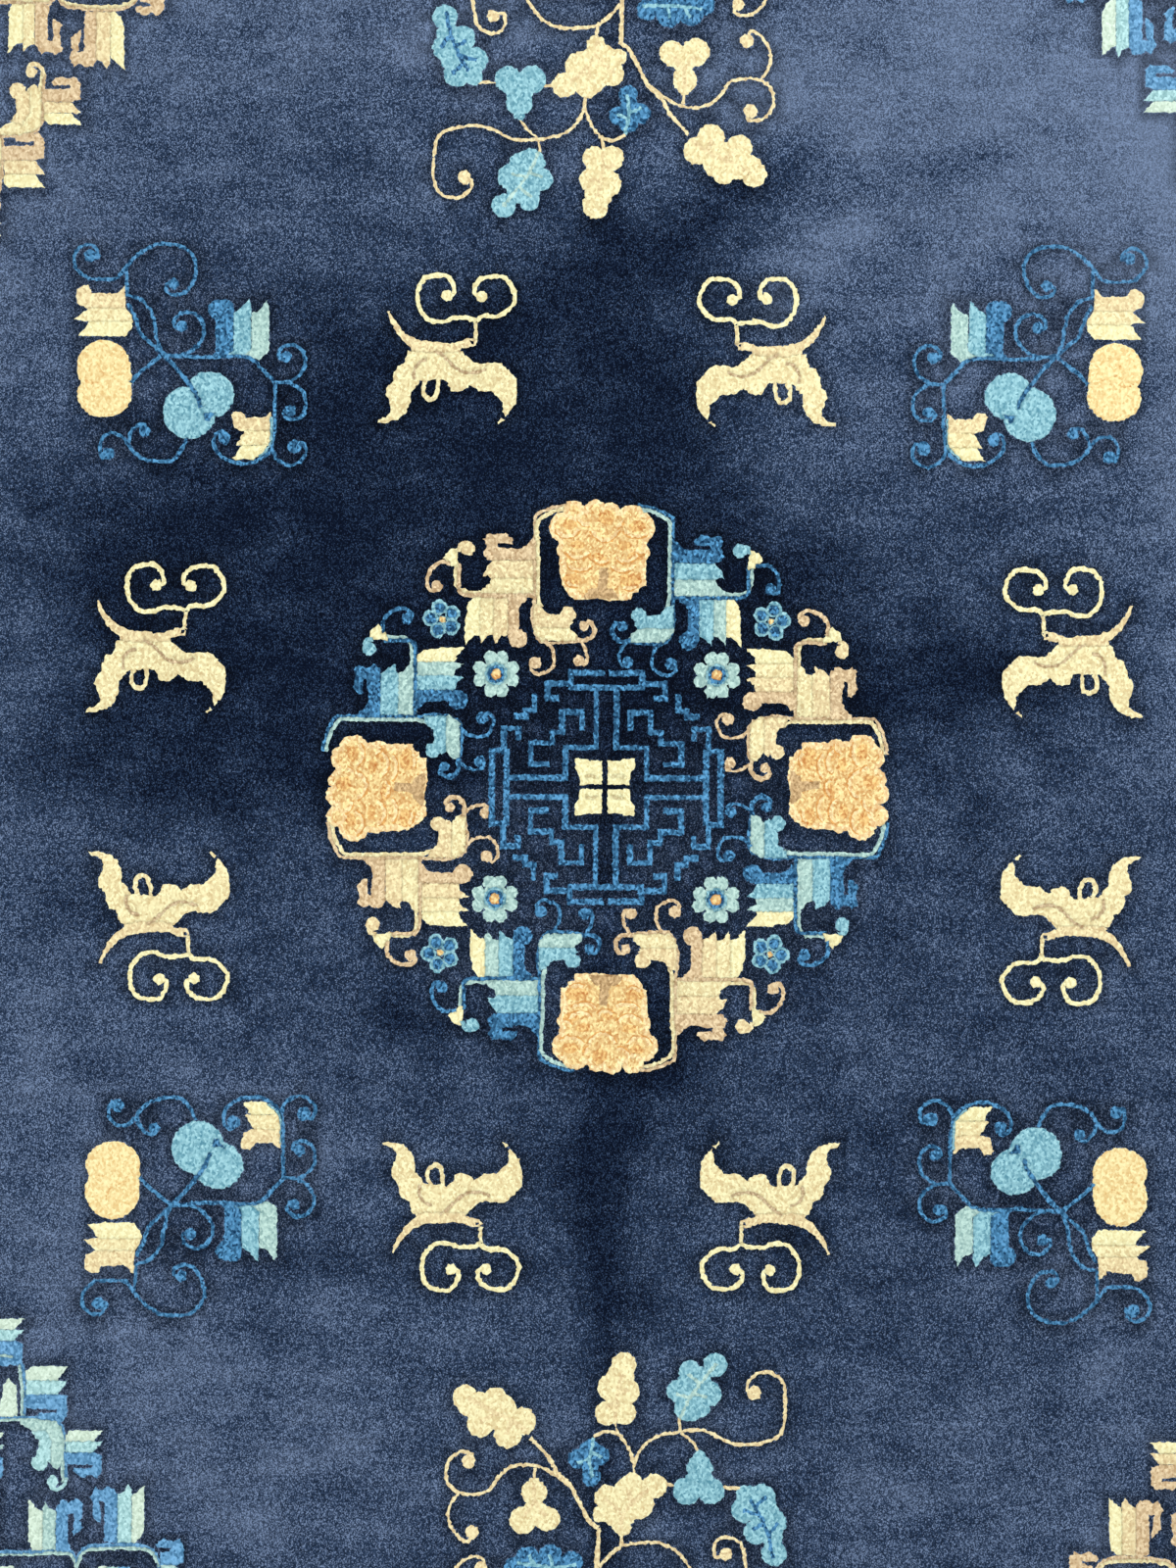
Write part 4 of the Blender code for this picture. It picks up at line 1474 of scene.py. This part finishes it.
def selvedge(name, side):
    """One overcast edge, on the side -1 or 1 of the carpet."""
    bpy.ops.object.select_all(action="DESELECT")
    bpy.ops.mesh.primitive_circle_add(vertices=10, radius=1 / TURN_BULGE,
                                      rotation=(math.pi / 2, 0, 0))
    thing = bpy.context.active_object
    thing.name = name
    thing.scale = (0.5 * SELVEDGE_WIDTH, SELVEDGE_HALF_HEIGHT, 1.0)
    bpy.ops.object.transform_apply(location=False, rotation=True, scale=True)
    bpy.ops.object.mode_set(mode="EDIT")
    bpy.ops.mesh.select_all(action="SELECT")
    for size in (TURN_BULGE, 1 / TURN_BULGE):
        bpy.ops.mesh.extrude_region_move(
            TRANSFORM_OT_translate={"value": (0, TURN_PITCH / 2, 0)}
        )
        bpy.ops.transform.resize(value=(size, 1, size))
    bpy.ops.object.mode_set(mode="OBJECT")
    turns = thing.modifiers.new("turns", "ARRAY")
    turns.count = round(2 * PILE_HALF_Y / TURN_PITCH)
    turns.use_relative_offset = False
    turns.use_constant_offset = True
    turns.constant_offset_displace = (0, TURN_PITCH, 0)
    turns.use_merge_vertices = True
    turns.merge_threshold = TURN_PITCH / 20
    bpy.ops.object.modifier_apply(modifier=turns.name)
    bpy.ops.object.mode_set(mode="EDIT")
    bpy.ops.mesh.select_all(action="SELECT")
    bpy.ops.mesh.region_to_loop()
    bpy.ops.mesh.edge_face_add()
    bpy.ops.mesh.select_all(action="SELECT")
    bpy.ops.mesh.normals_make_consistent(inside=False)
    bpy.ops.object.mode_set(mode="OBJECT")
    for point in thing.data.vertices:
        point.co.x += side * FOUNDATION_HALF_X
        point.co.y -= PILE_HALF_Y
        point.co.z += SELVEDGE_CLEAR + SELVEDGE_HALF_HEIGHT
    follow_loom(thing)
    bpy.ops.object.shade_smooth()
    return thing


selvedges = [selvedge("selvedge_left", -1), selvedge("selvedge_right", 1)]
print("selvedge", len(selvedges[0].data.polygons), "faces, x",
      round(max(point.co.x for point in selvedges[1].data.vertices), 4))

# %% [markdown]
# ## Cotton and overcasting wool
#
# The foundation is undyed cotton in plain weave, so its face is a small egg-crate of
# warps and wefts, half a knot apart. Its back shows the feet of the knots: navy ribs
# with cotton between them. The selvedge's wool is the ground's navy, spun a little
# coarser, and its turns are already in the mesh, so its material only adds strands.

# %% Cotton and selvedge materials
WEAVE_PITCH = KNOT / 2
WEAVE_RELIEF = 0.0008
BACK_TOP = 0.0004
YARN_STRAND = 0.0016
YARN_RELIEF = 0.0010


def woven_waves(tree, coordinate):
    """The threads of the plain weave across one coordinate, from 0 to 1 and back."""
    turn = add(tree, "ShaderNodeMath", {0: coordinate, 1: 2 * math.pi / WEAVE_PITCH},
               operation="MULTIPLY")
    wave = add(tree, "ShaderNodeMath", {0: turn}, operation="SINE")
    return add(tree, "ShaderNodeMath", {0: wave, 1: 0.5, 2: 0.5}, operation="MULTIPLY_ADD")


def half_mixed(tree, at, patch, detail, tone, other):
    """The tone, mixed up to half way to another in soft patches of this size."""
    patches = add(tree, "ShaderNodeTexNoise",
                  {"Vector": at, "Scale": 1 / patch, "Detail": detail}, noise_dimensions="2D")
    share = add(tree, "ShaderNodeMath", {0: patches, 1: 0.5}, operation="MULTIPLY")
    return add(tree, "ShaderNodeMix", {0: share, 6: tone, 7: linear(other)}, data_type="RGBA")


def cotton_material():
    """Undyed cotton in plain weave, with the feet of the navy knots on its back."""
    cotton, tree, shader = plain_material("undyed_cotton_plain_weave", 0.92, specular=0.15)
    at = add(tree, "ShaderNodeTexCoord").outputs["Object"]
    axis = add(tree, "ShaderNodeSeparateXYZ", {0: at}).outputs
    warps, wefts = woven_waves(tree, axis[0]), woven_waves(tree, axis[1])
    crate = add(tree, "ShaderNodeMath", {0: warps, 1: wefts}, operation="MULTIPLY")
    # Painted light and shade: the threads' crowns are painted lighter and the gaps between them darker
    thread = add(tree, "ShaderNodeMix", {0: crate, 6: linear("#a89f8a"), 7: linear("#ddd5bf")},
                 data_type="RGBA")
    thread = half_mixed(tree, at, 0.02, 3.0, thread, "#b9ad93")
    # The knots' feet on the back get the same painted light on their ribs and painted shade between
    # them
    feet = add(tree, "ShaderNodeMix", {0: crate, 6: linear("#1b2740"), 7: linear("#3a4a68")},
               data_type="RGBA")
    on_back = add(tree, "ShaderNodeMath", {0: axis[2], 1: BACK_TOP}, operation="LESS_THAN")
    tone = add(tree, "ShaderNodeMix", {0: on_back, 6: thread, 7: feet}, data_type="RGBA")
    tree.links.new(tone.outputs[2], shader.inputs["Base Color"])
    relief = add(tree, "ShaderNodeBump",
                 {"Height": crate, "Strength": 0.7, "Distance": WEAVE_RELIEF})
    tree.links.new(relief.outputs[0], shader.inputs["Normal"])
    return cotton


def overcasting_material():
    """Coarse navy wool yarn, wound across the edge."""
    yarn, tree, shader = plain_material("navy_overcasting_wool", 0.93, specular=0.12)
    at = add(tree, "ShaderNodeTexCoord").outputs["Object"]
    strands = add(tree, "ShaderNodeTexNoise",
                  {"Vector": at, "Scale": 1 / YARN_STRAND, "Detail": 3.0, "Roughness": 0.6},
                  noise_dimensions="2D")
    tone = add(tree, "ShaderNodeMix", {0: strands, 6: linear("#18233b"), 7: linear("#46587a")},
               data_type="RGBA")
    tone = half_mixed(tree, at, 0.03, 2.0, tone, "#1d2942")
    tree.links.new(tone.outputs[2], shader.inputs["Base Color"])
    relief = add(tree, "ShaderNodeBump",
                 {"Height": strands, "Strength": 0.6, "Distance": YARN_RELIEF})
    tree.links.new(relief.outputs[0], shader.inputs["Normal"])
    return yarn


foundation.data.materials.append(cotton_material())
overcasting = overcasting_material()
for edge in selvedges:
    edge.data.materials.append(overcasting)

print("a thread of the weave every", round(1000 * WEAVE_PITCH, 1), "mm")

# %% [markdown]
# ## Camera, floor and light
#
# The photograph looks straight down on the middle of the carpet, from close enough that
# it cuts off the border. So the camera hangs over the middle and looks down, at the
# height where its film takes in 1600 rows of pixels of 1.55 mm each. The floor is plain
# and pale. Two large soft lamps and an even pale sky give light from all sides, as
# under a studio's ceiling, so that the nap's painted sheen and painted shade, and not a
# lamp, make the light and dark.

# %% Camera
FILM_TALL = 36.0
LENS = 27.0
PIXEL = 0.00155
VIEW_TALL = 1600 * PIXEL
camera_data = bpy.data.cameras.new("camera")
camera_data.sensor_fit = "VERTICAL"
camera_data.sensor_height = FILM_TALL
camera_data.lens = LENS
camera = bpy.data.objects.new("camera", camera_data)
camera.location = (-0.0325, 0.0015, PILE_TOP + VIEW_TALL * LENS / FILM_TALL)
camera.rotation_euler = (0, 0, math.radians(0.3))
bpy.context.scene.collection.objects.link(camera)
bpy.context.scene.camera = camera
print("camera", round(camera.location.z, 2), "m above the floor")

# %% Floor and light
FLOOR_TOP = -0.0003
bpy.ops.object.select_all(action="DESELECT")
bpy.ops.mesh.primitive_plane_add(size=14, location=(0, 0, FLOOR_TOP))
floor = bpy.context.active_object
floor.name = "floor"
floor_paint, _, floor_shader = plain_material("pale_floor", 0.8, specular=0.5)
floor_shader.inputs["Base Color"].default_value = linear("#d9d6cf")
floor.data.materials.append(floor_paint)


def softbox(name, stand_at, size, watts):
    """A square soft light that looks at the carpet's middle."""
    data = bpy.data.lights.new(name, "AREA")
    data.size = size
    data.energy = watts
    lamp = bpy.data.objects.new(name, data)
    lamp.location = stand_at
    lamp.rotation_euler = (-Vector(stand_at)).to_track_quat("-Z", "Y").to_euler()
    bpy.context.scene.collection.objects.link(lamp)


softbox("window_light", (2.6, 3.0, 3.2), 2.6, 110)
softbox("fill_light", (-3.0, -1.6, 3.4), 3.0, 60)
world = bpy.data.worlds.new("studio")
world.use_nodes = True
sky = world.node_tree.nodes["Background"]
sky.inputs["Color"].default_value = (0.95, 0.97, 1.0, 1)
sky.inputs["Strength"].default_value = 0.85
bpy.context.scene.world = world
bpy.context.scene.view_settings.view_transform = "Standard"

# %% [markdown]
# ## One carpet
#
# Every piece rides on the carpet's only body. The foundation stands for the imported solid
# at the size the carpet was woven to, with the pile and the selvedges on it.

# %% Ride and replace
carried = [*pile.values(), *selvedges]
for thing in [foundation, *carried]:
    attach(thing, "root")
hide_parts("rug")
print(len(carried), "pieces on the foundation")
